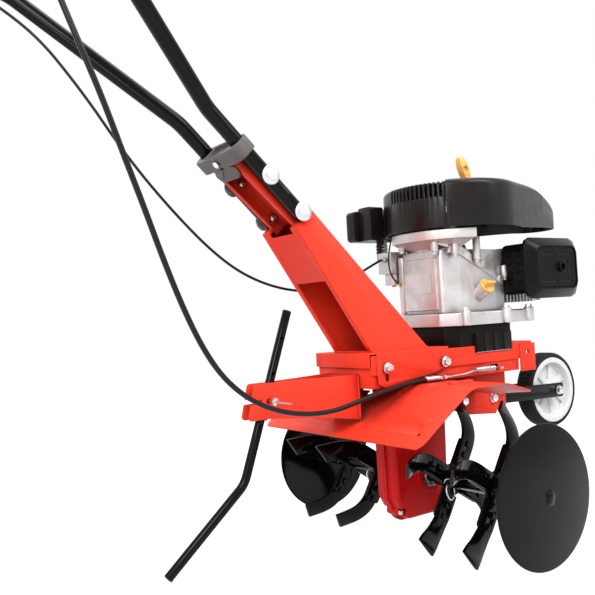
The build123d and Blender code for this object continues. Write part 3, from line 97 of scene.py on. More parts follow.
# Control points of the cables and of the stop wire, in millimetres of the level machine.
CLUTCH_ROUTE = [
    (-808, -164.6, 918), (-802, -166, 882), (-788, -172, 838), (-772, -180, 786), (-752, -188, 726),
    (-727, -190, 661), (-700, -184, 592), (-668, -178, 512), (-640, -171, 440), (-609, -164, 368),
    (-576, -156, 306), (-539, -149, 256), (-490, -140, 217), (-432, -132, 190), (-370, -125, 176),
    (-305, -120, 173), (-238, -114, 184), (-168, -106, 195), (-105, -98, 202), (-52.5, -95.5, 205),
]
THROTTLE_ROUTE = [
    (-780, 191.5, 936), (-742, 180, 909), (-697, 160, 861), (-658, 147, 806), (-620, 138, 750),
    (-583, 132, 692), (-543, 126, 636), (-499, 122, 583), (-452, 120, 533), (-403, 116, 485),
    (-349, 108, 442), (-287, 101, 413), (-220, 97, 398), (-151, 96, 397), (-84, 96, 412),
    (-23, 96, 444), (21, 96, 462),
]
STOP_ROUTE = [(34, 66, 518), (27, 69, 496), (21, 71.5, 466), (23, 72.5, 436), (33, 70, 414), (44, 65, 404)]
# Where a cable stops following the handle, and where it has come to follow the chassis; the cables are laid
# without using these points.
CLUTCH_BEND = ((-800, -165, 890), (-370, -125, 176))
THROTTLE_BEND = ((-765, 188, 920), (-220, 97, 398))

# Where the starter's rope runs, across the level machine, in millimetres.
STARTER = (156, -62)

CAMERA_PLACE = (-0.8842, -1.178, 0.397)
CAMERA_TURN = (math.radians(93.75), 0.0, math.radians(-34.92))
SENSOR_WIDTH = 36.0
FLOOR_SIZE = 24.0
# What the camera and reflections see of the floor and the surroundings, and what both do with light.
FLOOR_SHOWN, FLOOR_LIGHT, FLOOR_GREY = 0.87, 0.0, 0.42
WORLD_SHOWN, WORLD_LIGHT = 1.0, 0.64
# Each lamp's name, place, aim, size, power and, for an upright strip, height.
LAMPS = (
    ("key_lamp", (-2.4, -1.9, 2.2), (0.1, 0.0, 0.45), 1.6, 60.0, 0.0),
    ("fill_lamp", (0.7, -2.1, 3.0), (0.1, 0.0, 0.4), 1.8, 54.0, 0.0),
    ("strip_lamp", (-1.95, -1.0, 0.95), (0.4, 0.0, 0.7), 0.5, 10.0, 1.7),
    ("edge_lamp", (1.25, -1.75, 1.95), (-0.3, -0.08, 0.85), 0.36, 12.0, 1.4),
    ("top_lamp", (0.4, 0.3, 3.0), (0.1, 0.0, 0.3), 2.0, 28.0, 0.0),
    ("back_lamp", (-0.6, 3.0, 2.0), (0.0, 0.0, 0.5), 2.2, 14.0, 0.0),
)


# Properties

def colour(name, description, default):
    return FloatVectorProperty(name=name, description=description, default=default, subtype="COLOR",
                               size=3, min=0.0, max=1.0)


def length(name, description, default, low=0.0, high=1.0):
    return FloatProperty(name=name, description=description, default=default, min=low, max=high,
                         unit="LENGTH", precision=4)


class TillerColours(bpy.types.PropertyGroup):
    red: colour("Red paint", "Gloss coat of the sheet steel", (0.86, 0.050, 0.024))
    casting: colour("Red casting", "Gloss coat of the gear case", (0.70, 0.010, 0.010))
    black: colour("Black paint", "Gloss coat of the tines and plant guards", (0.0026, 0.0024, 0.0024))
    satin: colour("Satin black", "Coat of the handle tubes and the wheel fork", (0.0040, 0.0036, 0.0034))
    plastic: colour("Black plastic", "Engine covers", (0.0088, 0.0074, 0.0068))
    grey: colour("Grey plastic", "Handle collar", (0.118, 0.106, 0.102))
    rim: colour("White plastic", "Wheel rim", (0.78, 0.79, 0.80))
    orange: colour("Orange plastic", "Starter grip and dipstick", (0.90, 0.46, 0.10))
    aluminium: colour("Aluminium", "Engine castings", (0.56, 0.548, 0.543))
    zinc: colour("Zinc", "Plated bolts and nuts", (0.62, 0.63, 0.64))
    rubber: colour("Rubber", "Tyre and grips", (0.013, 0.013, 0.013))


class TillerSizes(bpy.types.PropertyGroup):
    sheet_edge: length("Sheet edge", "Rounding of the pressed sheet's edges", 0.0007, 0.0001, 0.0014)
    casting_edge: length("Casting edge", "Rounding of the cast edges", 0.0012, 0.0001, 0.003)
    moulding_edge: length("Moulding edge", "Rounding of the plastic covers' edges", 0.0011, 0.0001, 0.003)
    bolt_edge: length("Bolt edge", "Rounding of the bolt heads and nuts", 0.0005, 0.0001, 0.001)
    lug_height: length("Lug height", "Height of the tyre's tread lugs", 0.0022, 0.0002, 0.003)
    lens: FloatProperty(name="Lens", description="Focal length of the camera", default=45.2, min=20.0,
                        max=120.0, unit="CAMERA")


# Finishes

def node_link(tree, kind, inputs=None, **settings):
    """Adds a shader node, with its plain settings and its input values or links."""
    node = tree.nodes.new(kind)
    for key, value in settings.items():
        setattr(node, key, value)
    for key, value in (inputs or {}).items():
        if isinstance(value, bpy.types.NodeSocket):
            tree.links.new(value, node.inputs[key])
        else:
            node.inputs[key].default_value = value
    return node


def shade(rgb, factor):
    """A colour made lighter or darker."""
    return tuple(min(1.0, c * factor) for c in rgb[:3]) + (1.0,)


def make_finish(name, rgb, rough, metallic=0.0, coat=0.0, specular=0.5, grain=700.0, relief=0.05,
                depth=0.0002, cloud=14.0, vary=0.10, rough_vary=0.06, corner_shade=0.35, reach=0.014, streak=None):
    """A surface with cloudy colour, fine grain in its relief and roughness, and painted shade that darkens
    its corners.
    """
    material = bpy.data.materials.new(name)
    material.use_nodes = True
    tree = material.node_tree
    shader = tree.nodes["Principled BSDF"]
    where = node_link(tree, "ShaderNodeTexCoord").outputs["Object"]
    if streak:
        where = node_link(tree, "ShaderNodeMapping", {"Vector": where, "Scale": streak}).outputs["Vector"]
    clouds = node_link(tree, "ShaderNodeTexNoise", {"Vector": where, "Scale": cloud, "Detail": 4.0})
    fine = node_link(tree, "ShaderNodeTexNoise", {"Vector": where, "Scale": grain, "Detail": 3.0})
    smudge = node_link(tree, "ShaderNodeTexNoise", {"Vector": where, "Scale": 55.0, "Detail": 5.0})
    tone = node_link(tree, "ShaderNodeValToRGB", {"Fac": clouds.outputs["Fac"]})
    tone.color_ramp.elements[0].position = 0.32
    tone.color_ramp.elements[1].position = 0.68
    tone.color_ramp.elements[0].color = shade(rgb, 1.0 - vary)
    tone.color_ramp.elements[1].color = shade(rgb, 1.0 + vary)
    # Painted shade: the base colour is darkened in corners, creases and recesses, where the ambient occlusion
    # finds other surfaces close by.
    corner = node_link(tree, "ShaderNodeAmbientOcclusion", {"Distance": reach}, samples=8)
    painted_shade = node_link(tree, "ShaderNodeMapRange", {"Value": corner.outputs["AO"], "From Min": 0.2,
                                                      "From Max": 0.75, "To Min": 1.0 - corner_shade})
    tint = node_link(tree, "ShaderNodeVectorMath", {0: tone.outputs["Color"]}, operation="SCALE")
    tree.links.new(painted_shade.outputs["Result"], tint.inputs["Scale"])
    tree.links.new(tint.outputs["Vector"], shader.inputs["Base Color"])
    gloss = node_link(tree, "ShaderNodeMapRange", {"Value": smudge.outputs["Fac"], "From Min": 0.3,
                                                   "From Max": 0.7, "To Min": max(0.03, rough - rough_vary),
                                                   "To Max": rough + rough_vary})
    tree.links.new(gloss.outputs["Result"], shader.inputs["Roughness"])
    bump = node_link(tree, "ShaderNodeBump", {"Height": fine.outputs["Fac"], "Strength": relief,
                                              "Distance": depth})
    tree.links.new(bump.outputs["Normal"], shader.inputs["Normal"])
    shader.inputs["Metallic"].default_value = metallic
    shader.inputs["Specular IOR Level"].default_value = specular
    shader.inputs["Coat Weight"].default_value = coat
    shader.inputs["Coat Roughness"].default_value = 0.05
    return material


FINISHES = {}


def make_finishes(colours):
    """One material for each finish of the machine."""
    made = (
        make_finish("red_paint", colours.red, 0.40, coat=0.02, specular=0.10, grain=420.0, relief=0.04,
                    vary=0.03, corner_shade=0.62, reach=0.09),
        make_finish("red_casting", colours.casting, 0.32, coat=0.03, specular=0.12, grain=260.0, relief=0.16,
                    depth=0.0004, vary=0.05, corner_shade=0.45, reach=0.05),
        make_finish("black_paint", colours.black, 0.11, specular=0.13, grain=380.0, relief=0.03,
                    vary=0.2, rough_vary=0.03),
        make_finish("satin_black", colours.satin, 0.28, specular=0.12, grain=900.0, relief=0.06,
                    vary=0.2, rough_vary=0.04),
        make_finish("black_plastic", colours.plastic, 0.30, specular=0.20, grain=1500.0, relief=0.16,
                    vary=0.15),
        make_finish("panel_black", (0.0040, 0.0030, 0.0028), 0.42, specular=0.10, grain=900.0, relief=0.12,
                    vary=0.2),
        make_finish("grey_plastic", colours.grey, 0.48, specular=0.25, grain=1300.0, relief=0.18, vary=0.06),
        make_finish("white_plastic", colours.rim, 0.42, grain=1100.0, relief=0.10, vary=0.03, corner_shade=0.5),
        make_finish("orange_plastic", colours.orange, 0.38, grain=1200.0, relief=0.10, vary=0.05),
        make_finish("aluminium", colours.aluminium, 0.50, metallic=0.9, grain=620.0, relief=0.35,
                    depth=0.0004, cloud=22.0, vary=0.12, rough_vary=0.10, corner_shade=0.6),
        make_finish("zinc", colours.zinc, 0.24, metallic=1.0, grain=900.0, relief=0.08, cloud=90.0,
                    vary=0.14, corner_shade=0.5),
        make_finish("bright_zinc", (0.66, 0.66, 0.67), 0.34, metallic=0.75, grain=900.0, relief=0.06,
                    cloud=60.0, vary=0.06, corner_shade=0.3),
        make_finish("steel", (0.50, 0.50, 0.51), 0.30, metallic=1.0, grain=500.0, relief=0.10,
                    streak=(1.0, 0.08, 1.0)),
        make_finish("bronze", (0.55, 0.32, 0.12), 0.36, metallic=1.0),
        make_finish("brass", (0.62, 0.40, 0.13), 0.30, metallic=1.0),
        make_finish("rubber", colours.rubber, 0.60, specular=0.16, grain=800.0, relief=0.18, vary=0.2),
        make_finish("tyre_rubber", colours.rubber, 0.66, specular=0.14, grain=420.0, relief=0.20, vary=0.3),
    )
    for material in made:
        FINISHES[material.name.split(".")[0]] = material


# Making pieces

def start_editing():
    bpy.ops.object.mode_set(mode="EDIT")


def stop_editing():
    bpy.ops.object.mode_set(mode="OBJECT")


def clear_selection():
    """Leaves every object unselected, out of edit mode."""
    if bpy.context.object and bpy.context.object.mode != "OBJECT":
        stop_editing()
    bpy.ops.object.select_all(action="DESELECT")


def activate(piece):
    """Makes a piece the only selected one."""
    clear_selection()
    piece.select_set(True)
    bpy.context.view_layer.objects.active = piece


def rename(piece, name):
    piece.name = name
    piece.data.name = name


def add_to_scene(name, data):
    """A new object of the scene, with its data."""
    piece = bpy.data.objects.new(name, data)
    bpy.context.scene.collection.objects.link(piece)
    return piece


def apply_place():
    """Leaves the active piece at the origin, unturned and unscaled, with its shape where it was."""
    bpy.ops.object.transform_apply(location=True, rotation=True, scale=True)


def inset(thickness, depth=0.0, each=False):
    """Insets the selected faces, together or each by itself, by millimetres."""
    bpy.ops.mesh.inset(thickness=thickness * MM, depth=depth * MM, use_individual=each)


def push(x, y, z):
    """Extrudes the selected faces along a step in millimetres."""
    bpy.ops.mesh.extrude_region_move(TRANSFORM_OT_translate={"value": (x * MM, y * MM, z * MM)})


def swell(height):
    """Extrudes the selected faces outwards by millimetres."""
    bpy.ops.mesh.extrude_region_shrink_fatten(TRANSFORM_OT_shrink_fatten={"value": height * MM})


def apply_modifier(piece, kind, **settings):
    """Adds a modifier with its settings and applies it."""
    activate(piece)
    modifier = piece.modifiers.new(kind.title(), kind)
    for key, value in settings.items():
        setattr(modifier, key, value)
    bpy.ops.object.modifier_apply(modifier=modifier.name)


def dress(piece, finish, body, smooth=SMOOTH, replaces=()):
    """Gives a made piece its finish, its shading and the body it rides on, if it has only one."""
    activate(piece)
    piece.data.materials.clear()
    piece.data.materials.append(FINISHES[finish])
    bpy.ops.object.shade_smooth_by_angle(angle=math.radians(smooth))
    if body:
        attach(piece, body)
    if replaces:
        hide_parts(*replaces)
    return piece


def settle(piece, finish, body, smooth=SMOOTH, replaces=()):
    """Stands a piece made in the level frame with the machine, and dresses it."""
    activate(piece)
    piece.matrix_world = STANDING @ piece.matrix_world
    apply_place()
    start_editing()
    bpy.ops.mesh.select_all(action="SELECT")
    bpy.ops.mesh.remove_doubles(threshold=PIECE_MERGE)
    bpy.ops.mesh.normals_make_consistent(inside=False)
    stop_editing()
    return dress(piece, finish, body, smooth, replaces)


def own_finish(node):
    """The finish that a plain node came with."""
    return NODES[node].material_slots[0].material.name.split(".")[0]


def copied(node, name):
    """A copy of a plain node with its points merged, left in edit mode with all of it selected."""
    piece = add_to_scene(name, NODES[node].data.copy())
    activate(piece)
    if piece.data.has_custom_normals:
        bpy.ops.mesh.customdata_custom_splitnormals_clear()
    start_editing()
    bpy.ops.mesh.select_all(action="SELECT")
    bpy.ops.mesh.remove_doubles(threshold=NODE_MERGE)
    return piece


def rounded(node, width, finish=None, angle=SHARP, segments=2, first=None, clamp=False):
    """The shape of a plain node with its sharp edges rounded over, after a first edit if one is given."""
    piece = copied(node, node + "_finished")
    bpy.ops.mesh.dissolve_limited(angle_limit=NODE_FLAT)
    stop_editing()
    if first:
        first(piece)
    apply_modifier(piece, "BEVEL", width=width, segments=segments, limit_method="ANGLE",
                   angle_limit=math.radians(angle), use_clamp_overlap=clamp, miter_outer="MITER_ARC")
    return dress(piece, finish or own_finish(node), BODY_OF[node], replaces=(node,))


def in_place(x, y, z):
    """A point of the level machine, in millimetres, in the standing frame in metres."""
    return STANDING @ (Vector((x, y, z)) * MM)


def in_level(point):
    """A point of the standing frame in the level machine, both in millimetres."""
    return LEVEL @ (point * MM) / MM


def begin(name, add, **options):
    """A new piece from a primitive, before its edits."""
    clear_selection()
    add(**options)
    piece = bpy.context.object
    rename(piece, name)
    return piece


def box(name, x0, x1, y0, y1, z0, z1):
    """A block between limits in millimetres of the level machine, to be worked on."""
    middle = Vector((x0 + x1, y0 + y1, z0 + z1)) * (MM / 2)
    piece = begin(name, bpy.ops.mesh.primitive_cube_add, size=1.0, location=middle)
    piece.scale = (abs(x1 - x0) * MM, abs(y1 - y0) * MM, abs(z1 - z0) * MM)
    apply_place()
    return piece


def place_along(piece, place, way):
    """Turns a piece that was made upright at the origin along a direction, at a place in metres."""
    piece.matrix_world = Matrix.Translation(place) @ way.to_track_quat("Z", "Y").to_matrix().to_4x4()
    apply_place()


def bar(name, start, end, radius, vertices=24, closed=True):
    """A round bar between two points in millimetres, to be worked on; its rings run from start to end."""
    start, end = Vector(start) * MM, Vector(end) * MM
    along = end - start
    piece = begin(name, bpy.ops.mesh.primitive_cylinder_add, vertices=vertices, radius=radius * MM,
                  depth=along.length, end_fill_type="NGON" if closed else "NOTHING")
    place_along(piece, (start + end) / 2, along)
    return piece


def pick(piece, test, kind="FACE"):
    """Goes into edit mode and selects the faces or edges whose middle and direction pass a test."""
    activate(piece)
    start_editing()
    bpy.ops.mesh.select_mode(type=kind)
    bpy.ops.mesh.select_all(action="DESELECT")
    mesh = bmesh.from_edit_mesh(piece.data)
    mesh.normal_update()
    for item in (mesh.faces if kind == "FACE" else mesh.edges):
        if kind == "FACE":
            middle, way = item.calc_center_median(), item.normal
        else:
            middle, way = (item.verts[0].co + item.verts[1].co) / 2, item.verts[1].co - item.verts[0].co
            way = way.normalized()
        if test(middle / MM, way):
            item.select_set(True)
    bmesh.update_edit_mesh(piece.data)


def inset_where(piece, test, thickness, depth=0.0, each=False):
    """Insets the faces of a piece that pass a test, by millimetres."""
    pick(piece, test)
    inset(thickness, depth, each)
    stop_editing()


def round_where(piece, test, radius, segments):
    """Rounds the edges of a piece that pass a test, by a radius in millimetres."""
    pick(piece, test, "EDGE")
    bpy.ops.mesh.bevel(offset=radius * MM, segments=segments)
    stop_editing()


def cut(piece, points, normal):
    """Scores a piece through, at points in millimetres, square to a direction."""
    activate(piece)
    start_editing()
    for point in points:
        bpy.ops.mesh.select_all(action="SELECT")
        bpy.ops.mesh.bisect(plane_co=Vector(point) * MM, plane_no=normal)
    stop_editing()


def join(name, pieces):
    """One piece out of several."""
    clear_selection()
    for piece in pieces:
        piece.select_set(True)
    bpy.context.view_layer.objects.active = pieces[0]
    bpy.ops.object.join()
    rename(pieces[0], name)
    return pieces[0]


def soften(piece, width, segments=2, angle=SHARP):
    """Rounds the sharp edges of a made piece, by a width in millimetres."""
    apply_modifier(piece, "BEVEL", width=width * MM, segments=segments, limit_method="ANGLE",
                   angle_limit=math.radians(angle), use_clamp_overlap=True)


def ribbed(name, start, end, radius, pitch, share, height, vertices=36):
    """A round sleeve with raised rings along it, sizes in millimetres."""
    start, end = Vector(start), Vector(end)
    way = (end - start).normalized()
    count = int((end - start).length // pitch)
    piece = bar(name, start, end, radius, vertices)
    low, high = pitch * (1.0 - share) / 2, pitch * (1.0 + share) / 2
    cut(piece, [start + way * (i * pitch + at) for i in range(count) for at in (low, high)], way)

    def on_ring(middle, normal):
        along = (middle - start).dot(way)
        return abs(normal.dot(way)) < 0.3 and along < count * pitch and low < along % pitch < high

    pick(piece, on_ring)
    swell(height)
    stop_editing()
    return piece


def coil(name, start, end, radius, wire, turns):
    """A wound spring between two points, sizes in millimetres."""
    start, end = Vector(start) * MM, Vector(end) * MM
    along = end - start
    piece = begin(name, bpy.ops.mesh.primitive_circle_add, vertices=10, radius=wire * MM / 2,
                  location=(radius * MM, 0.0, 0.0), rotation=(math.pi / 2, 0.0, 0.0))
    apply_place()
    apply_modifier(piece, "SCREW", axis="Z", angle=2 * math.pi, screw_offset=along.length / turns,
                   iterations=turns, steps=16, render_steps=16)
    place_along(piece, start, along)
    return piece


def weld(name, start, end, radius=2.4, pitch=4.0):
    """A weld bead: a bar whose rings swell and shrink by turns, drawn in at both ends."""
    start, end = Vector(start), Vector(end)
    way = (end - start).normalized()
    run = (end - start).length
    count = max(3, int(run // pitch))
    step = run / count
    drawn_in, trough, crest = 0.45, 0.80, 1.0
    piece = bar(name, start, end, radius, 10)
    cut(piece, [start + way * (step * i / 2) for i in range(1, 2 * count)], way)
    for i in range(0, 2 * count + 1):
        middle = start + way * (step * i / 2)
        pick(piece, lambda m, d, at=middle: abs(d.dot(way)) < 0.1 and abs((m - at).dot(way)) < 0.05, "EDGE")
        size = drawn_in if i in (0, 2 * count) else (crest if i % 2 else trough)
        bpy.ops.transform.resize(value=(size, size, size), center_override=middle * MM)
    stop_editing()
    return piece


def bolt_boss(name, x, y, top, low, radius=8.0):
    """An upright cast boss with a small raised seat under it, for the flanged bolt head that is made apart.
    """
    boss = bar(name, (x, y, low), (x, y, top), radius, 28)
    pick(boss, lambda m, n: n.z < -0.9)
    inset(1.4)
    push(0.0, 0.0, -1.2)
    stop_editing()
    soften(boss, 1.0)
    return boss


def bolt_head(name, at, out, across=10.0, height=6.0):
    """A flanged hexagon head standing on a point, sizes in millimetres."""
    at, out = Vector(at), Vector(out).normalized()
    head = bar(name, at, at + out * height, across / math.sqrt(3.0), 6)
    inset_where(head, lambda m, n: n.dot(out) > 0.9, across * 0.11, across * 0.04)
    flange = bar(name + "_flange", at, at + out * 1.6, across * 0.72, 28)
    inset_where(flange, lambda m, n: n.dot(out) > 0.9, across * 0.14, 0.5)
    return join(name, [head, flange])


def slotted(piece, face, slots, border, depth):
    """Scores slots into the face of a plate in XZ and sinks them, sizes in millimetres."""
    for x in sorted({x for slot in slots for x in slot[:2]}):
        cut(piece, [(x, 0, 0)], (1, 0, 0))
    for z in sorted({z for slot in slots for z in slot[2:]}):
        cut(piece, [(0, 0, z)], (0, 0, 1))

    def in_slot(m, n):
        return n.y * face > 0.9 and any(a < m.x < b and c < m.z < d for a, b, c, d in slots)

    pick(piece, in_slot)
    inset(border)
    push(0.0, -face * depth, 0.0)
    stop_editing()


def second_finish(piece, finish, test):
    """Gives a second finish to the faces of a dressed piece that pass a test."""
    piece.data.materials.append(FINISHES[finish])
    pick(piece, test)
    piece.active_material_index = 1
    bpy.ops.object.material_slot_assign()
    stop_editing()


# Operators

class TILLER_OT_sheet_metal(bpy.types.Operator):
    """Finishes the folded steel: deck, handle column, brackets and fender, with their welds"""
    bl_idname = "tiller.sheet_metal"
    bl_label = "Sheet metal"

    def execute(self, context):
        edge = context.scene.tiller_sizes.sheet_edge
        for node in ("deck_frame", "handle_column", "stake_bracket", "fender", "wheel_bracket"):
            rounded(node, edge, "red_paint")
        thin = {"radius": 1.6, "pitch": 3.0}
        self.column_welds(thin)
        self.deck_welds(thin)
        return {"FINISHED"}

    def column_welds(self, thin):
        """The beads round the foot of the column and along the saddle's rear tabs."""
        foot_z, side_y, end_y = 267, 60.5, 58
        tab_x, tab_y = -166, 85
        beads = []
        for side in SIDES:
            beads.append(weld("column_bead", (-154, side * side_y, foot_z), (-4, side * side_y, foot_z)))
            beads.append(weld("tab_bead", (tab_x, side * tab_y, 222), (tab_x, side * tab_y, 262), **thin))
        for name, end_x in (("column_front_bead", -2.5), ("column_rear_bead", -156)):
            beads.append(weld(name, (end_x, -end_y, foot_z), (end_x, end_y, foot_z)))
        settle(join("column_welds", beads), "red_paint", "handle")

    def deck_welds(self, thin):
        """The beads of the stake's bracket, the front rails and the cable's tab."""
        bracket_x, bracket_y = -183.5, 46.8
        rail_y, rail_z = 84.6, 226
        tab_x, tab_y = -5, -84.4
        beads = []
        for side in SIDES:
            y = side * bracket_y
            beads.append(weld("bracket_bead", (bracket_x, y, 142), (bracket_x, y, 222)))
            y = side * rail_y
            beads.append(weld("rail_bead", (258, y, rail_z), (298, y, rail_z), **thin))
        beads.append(weld("cable_tab_bead", (tab_x, tab_y, 200), (tab_x, tab_y, 212), **thin))
        settle(join("deck_welds", beads), "red_paint", "chassis")


class TILLER_OT_handlebar(bpy.types.Operator):
    """Finishes the tubes, the collar, the hand controls and the ribbed grips"""
    bl_idname = "tiller.handlebar"
    bl_label = "Handlebar"

    def execute(self, context):
        sizes = context.scene.tiller_sizes
        for node in ("handle_tube_left", "handle_tube_right"):
            rounded(node, ROUNDING["handle_tube"])
        rounded("tube_collar", ROUNDING["tube_collar"], segments=3)
        for node in ("lever_clamp", "throttle_housing", "throttle_lever", "clutch_lever"):
            rounded(node, sizes.moulding_edge)
        rounded("handle_bolts", ROUNDING["handle_bolts"], segments=3)
        caps = []
        for side in SIDES:
            for x, z in ((-375, 601), (-308, 537)):
                caps.append(self.cap((x, z), side))
        settle(join("handle_bolt_caps", caps), "bright_zinc", "handle")
        for node, side in (("grip_left", 1), ("grip_right", -1)):
            rounded(node, ROUNDING["grip"], segments=3)
            self.sleeve(node + "_ribs", side)
        return {"FINISHED"}

    def cap(self, place, side):
        """A broad domed washer under a bolt's head."""
        x, z = place
        piece = bar("bolt_cap", (x, side * 68.0, z), (x, side * 71.0, z), radius=18.0, vertices=40)

        def on_top(m, n):
            return n.y * side > 0.9 and abs(m.x - x) < 1 and abs(m.z - z) < 1

        for thickness, rise in ((2.2, 1.6), (4.0, 1.2), (4.0, 0.5)):
            inset_where(piece, on_top, thickness, rise)
        soften(piece, 0.8, segments=3, angle=40.0)
        return piece

    def sleeve(self, name, side):
        """The ribbed part of a grip, over its smooth sleeve."""
        bend = Vector((-759.0, 188.7, 956.5))
        way = Vector((-200.0, 24.0, 20.0)).normalized()
        first, last = 88, 188
        mirror = Vector((1.0, side, 1.0))
        start, end = ((bend + way * along) * mirror for along in (first, last))
        piece = ribbed(name, start, end, radius=17.3, pitch=7.0, share=0.55, height=1.5)
        soften(piece, 0.4, segments=1)
        settle(piece, "rubber", "handle")


class TILLER_OT_gear_case(bpy.types.Operator):
    """Finishes the two case halves and their bolts"""
    bl_idname = "tiller.gear_case"
    bl_label = "Gear case"

    def execute(self, context):
        sizes = context.scene.tiller_sizes
        for node in ("gear_case_left", "gear_case_right"):
            rounded(node, sizes.casting_edge, segments=3)
        rounded("case_bolts", sizes.bolt_edge)
        return {"FINISHED"}


class TILLER_OT_rotor(bpy.types.Operator):
    """Finishes the tines, their hubs, rivets and pins, and the plant guards"""
    bl_idname = "tiller.rotor"
    bl_label = "Tine rotor"

    def execute(self, context):
        sizes = context.scene.tiller_sizes
        for side in ("left", "right"):
            rounded("tines_" + side, ROUNDING["tines"])
            rounded("tine_hubs_" + side, ROUNDING["tine_hubs"])
            rounded("plant_guard_" + side, ROUNDING["plant_guard"], segments=3)
        rounded("rotor_fasteners", sizes.bolt_edge, "black_paint", segments=3)
        rings = [self.pin_ring(side) for side in SIDES]
        settle(join("hub_pin_rings", rings), "zinc", "tine_rotor")
        return {"FINISHED"}

    def pin_ring(self, side):
        """The spring ring that keeps a hub pin in, flattened where it clips over the sleeve."""
        ring_x, ring_y, ring_z = -19.0, side * 114.0, -17.0
        clip_z = -8.0
        ring = begin("pin_ring", bpy.ops.mesh.primitive_torus_add, major_segments=48, minor_segments=12,
                     major_radius=19.0 * MM, minor_radius=1.7 * MM,
                     location=(ring_x * MM, ring_y * MM, ring_z * MM),
                     rotation=(math.radians(84.0), 0.0, math.radians(-side * 22.0)))
        apply_place()
        pick(ring, lambda m, n: m.z > clip_z)
        bpy.ops.transform.resize(value=(1.0, 1.0, 0.8), center_override=Vector((ring_x, ring_y, clip_z)) * MM)
        stop_editing()
        pin_y, pin_z = side * 108, 2
        pin = bar("pin_end", (-30, pin_y, pin_z), (-10, pin_y, pin_z), radius=4.4, vertices=20)
        inset_where(pin, lambda m, n: abs(n.x) > 0.9, 1.2, 0.9, each=True)
        return join("pin_ring", [ring, pin])


class TILLER_OT_wheel(bpy.types.Operator):
    """Makes the tyre with its tread, and finishes the rim, the fork and its spring"""
    bl_idname = "tiller.wheel"
    bl_label = "Front wheel"

    def execute(self, context):
        sizes = context.scene.tiller_sizes
        self.tyre(sizes.lug_height)
        rounded("wheel_rim", ROUNDING["wheel_rim"], segments=3)
        rounded("wheel_fork", sizes.sheet_edge)
        rounded("wheel_axle", sizes.bolt_edge)
        spring = coil("fork_spring", (214, -49, 150), (254, -49, 150), radius=4.6, wire=1.6, turns=11)
        settle(spring, "zinc", "chassis")
        return {"FINISHED"}

    def tyre(self, lug):
        """A ring of slanting lugs between two rounded side walls."""
        centre = Vector((455.0, 0.0, 130.0))
        count = 54
        tread_r, tread_y, row_y = 88.5, 17.0, 8.5
        piece = bar("tyre_tread", centre - Vector((0, tread_y, 0)), centre + Vector((0, tread_y, 0)), tread_r,
                    count, closed=False)
        cut(piece, [centre + Vector((0, y, 0)) for y in (-row_y, 0.0, row_y)], (0, 1, 0))
        for ring in (-row_y, row_y):
            pick(piece, lambda m, d, y=ring: abs(m.y - y) < 0.2 and abs(d.y) < 0.2, "EDGE")
            bpy.ops.transform.rotate(value=math.pi / count, orient_axis="Y", center_override=centre * MM)
        pick(piece, lambda m, n: True)
        inset(1.5, each=True)
        bpy.ops.transform.shrink_fatten(value=lug)
        pick(piece, lambda m, d: abs(m.y) > tread_y - 0.2 and abs(d.y) < 0.2, "EDGE")
        radius, width = tread_r, tread_y
        wall = ((87.6, 20.0), (85.0, 21.7), (81.0, 22.0), (79.4, 21.4), (79.4, 15.8), (73.4, 12.8))
        for new_radius, new_width in wall:
            bpy.ops.mesh.extrude_edges_move()
            ratio = new_radius / radius
            bpy.ops.transform.resize(value=(ratio, new_width / width, ratio), center_override=centre * MM)
            radius, width = new_radius, new_width
        bpy.ops.mesh.bridge_edge_loops()
        stop_editing()
        soften(piece, 0.35, segments=1, angle=40.0)
        settle(piece, "tyre_rubber", "wheel", smooth=40.0, replaces=("tyre",))


class TILLER_OT_stake(bpy.types.Operator):
    """Finishes the drag stake and its pull pin"""
    bl_idname = "tiller.stake"
    bl_label = "Drag stake"

    def execute(self, context):
        rounded("drag_stake", ROUNDING["drag_stake"])
        rounded("stake_pin", ROUNDING["stake_pin"], clamp=True)
        return {"FINISHED"}


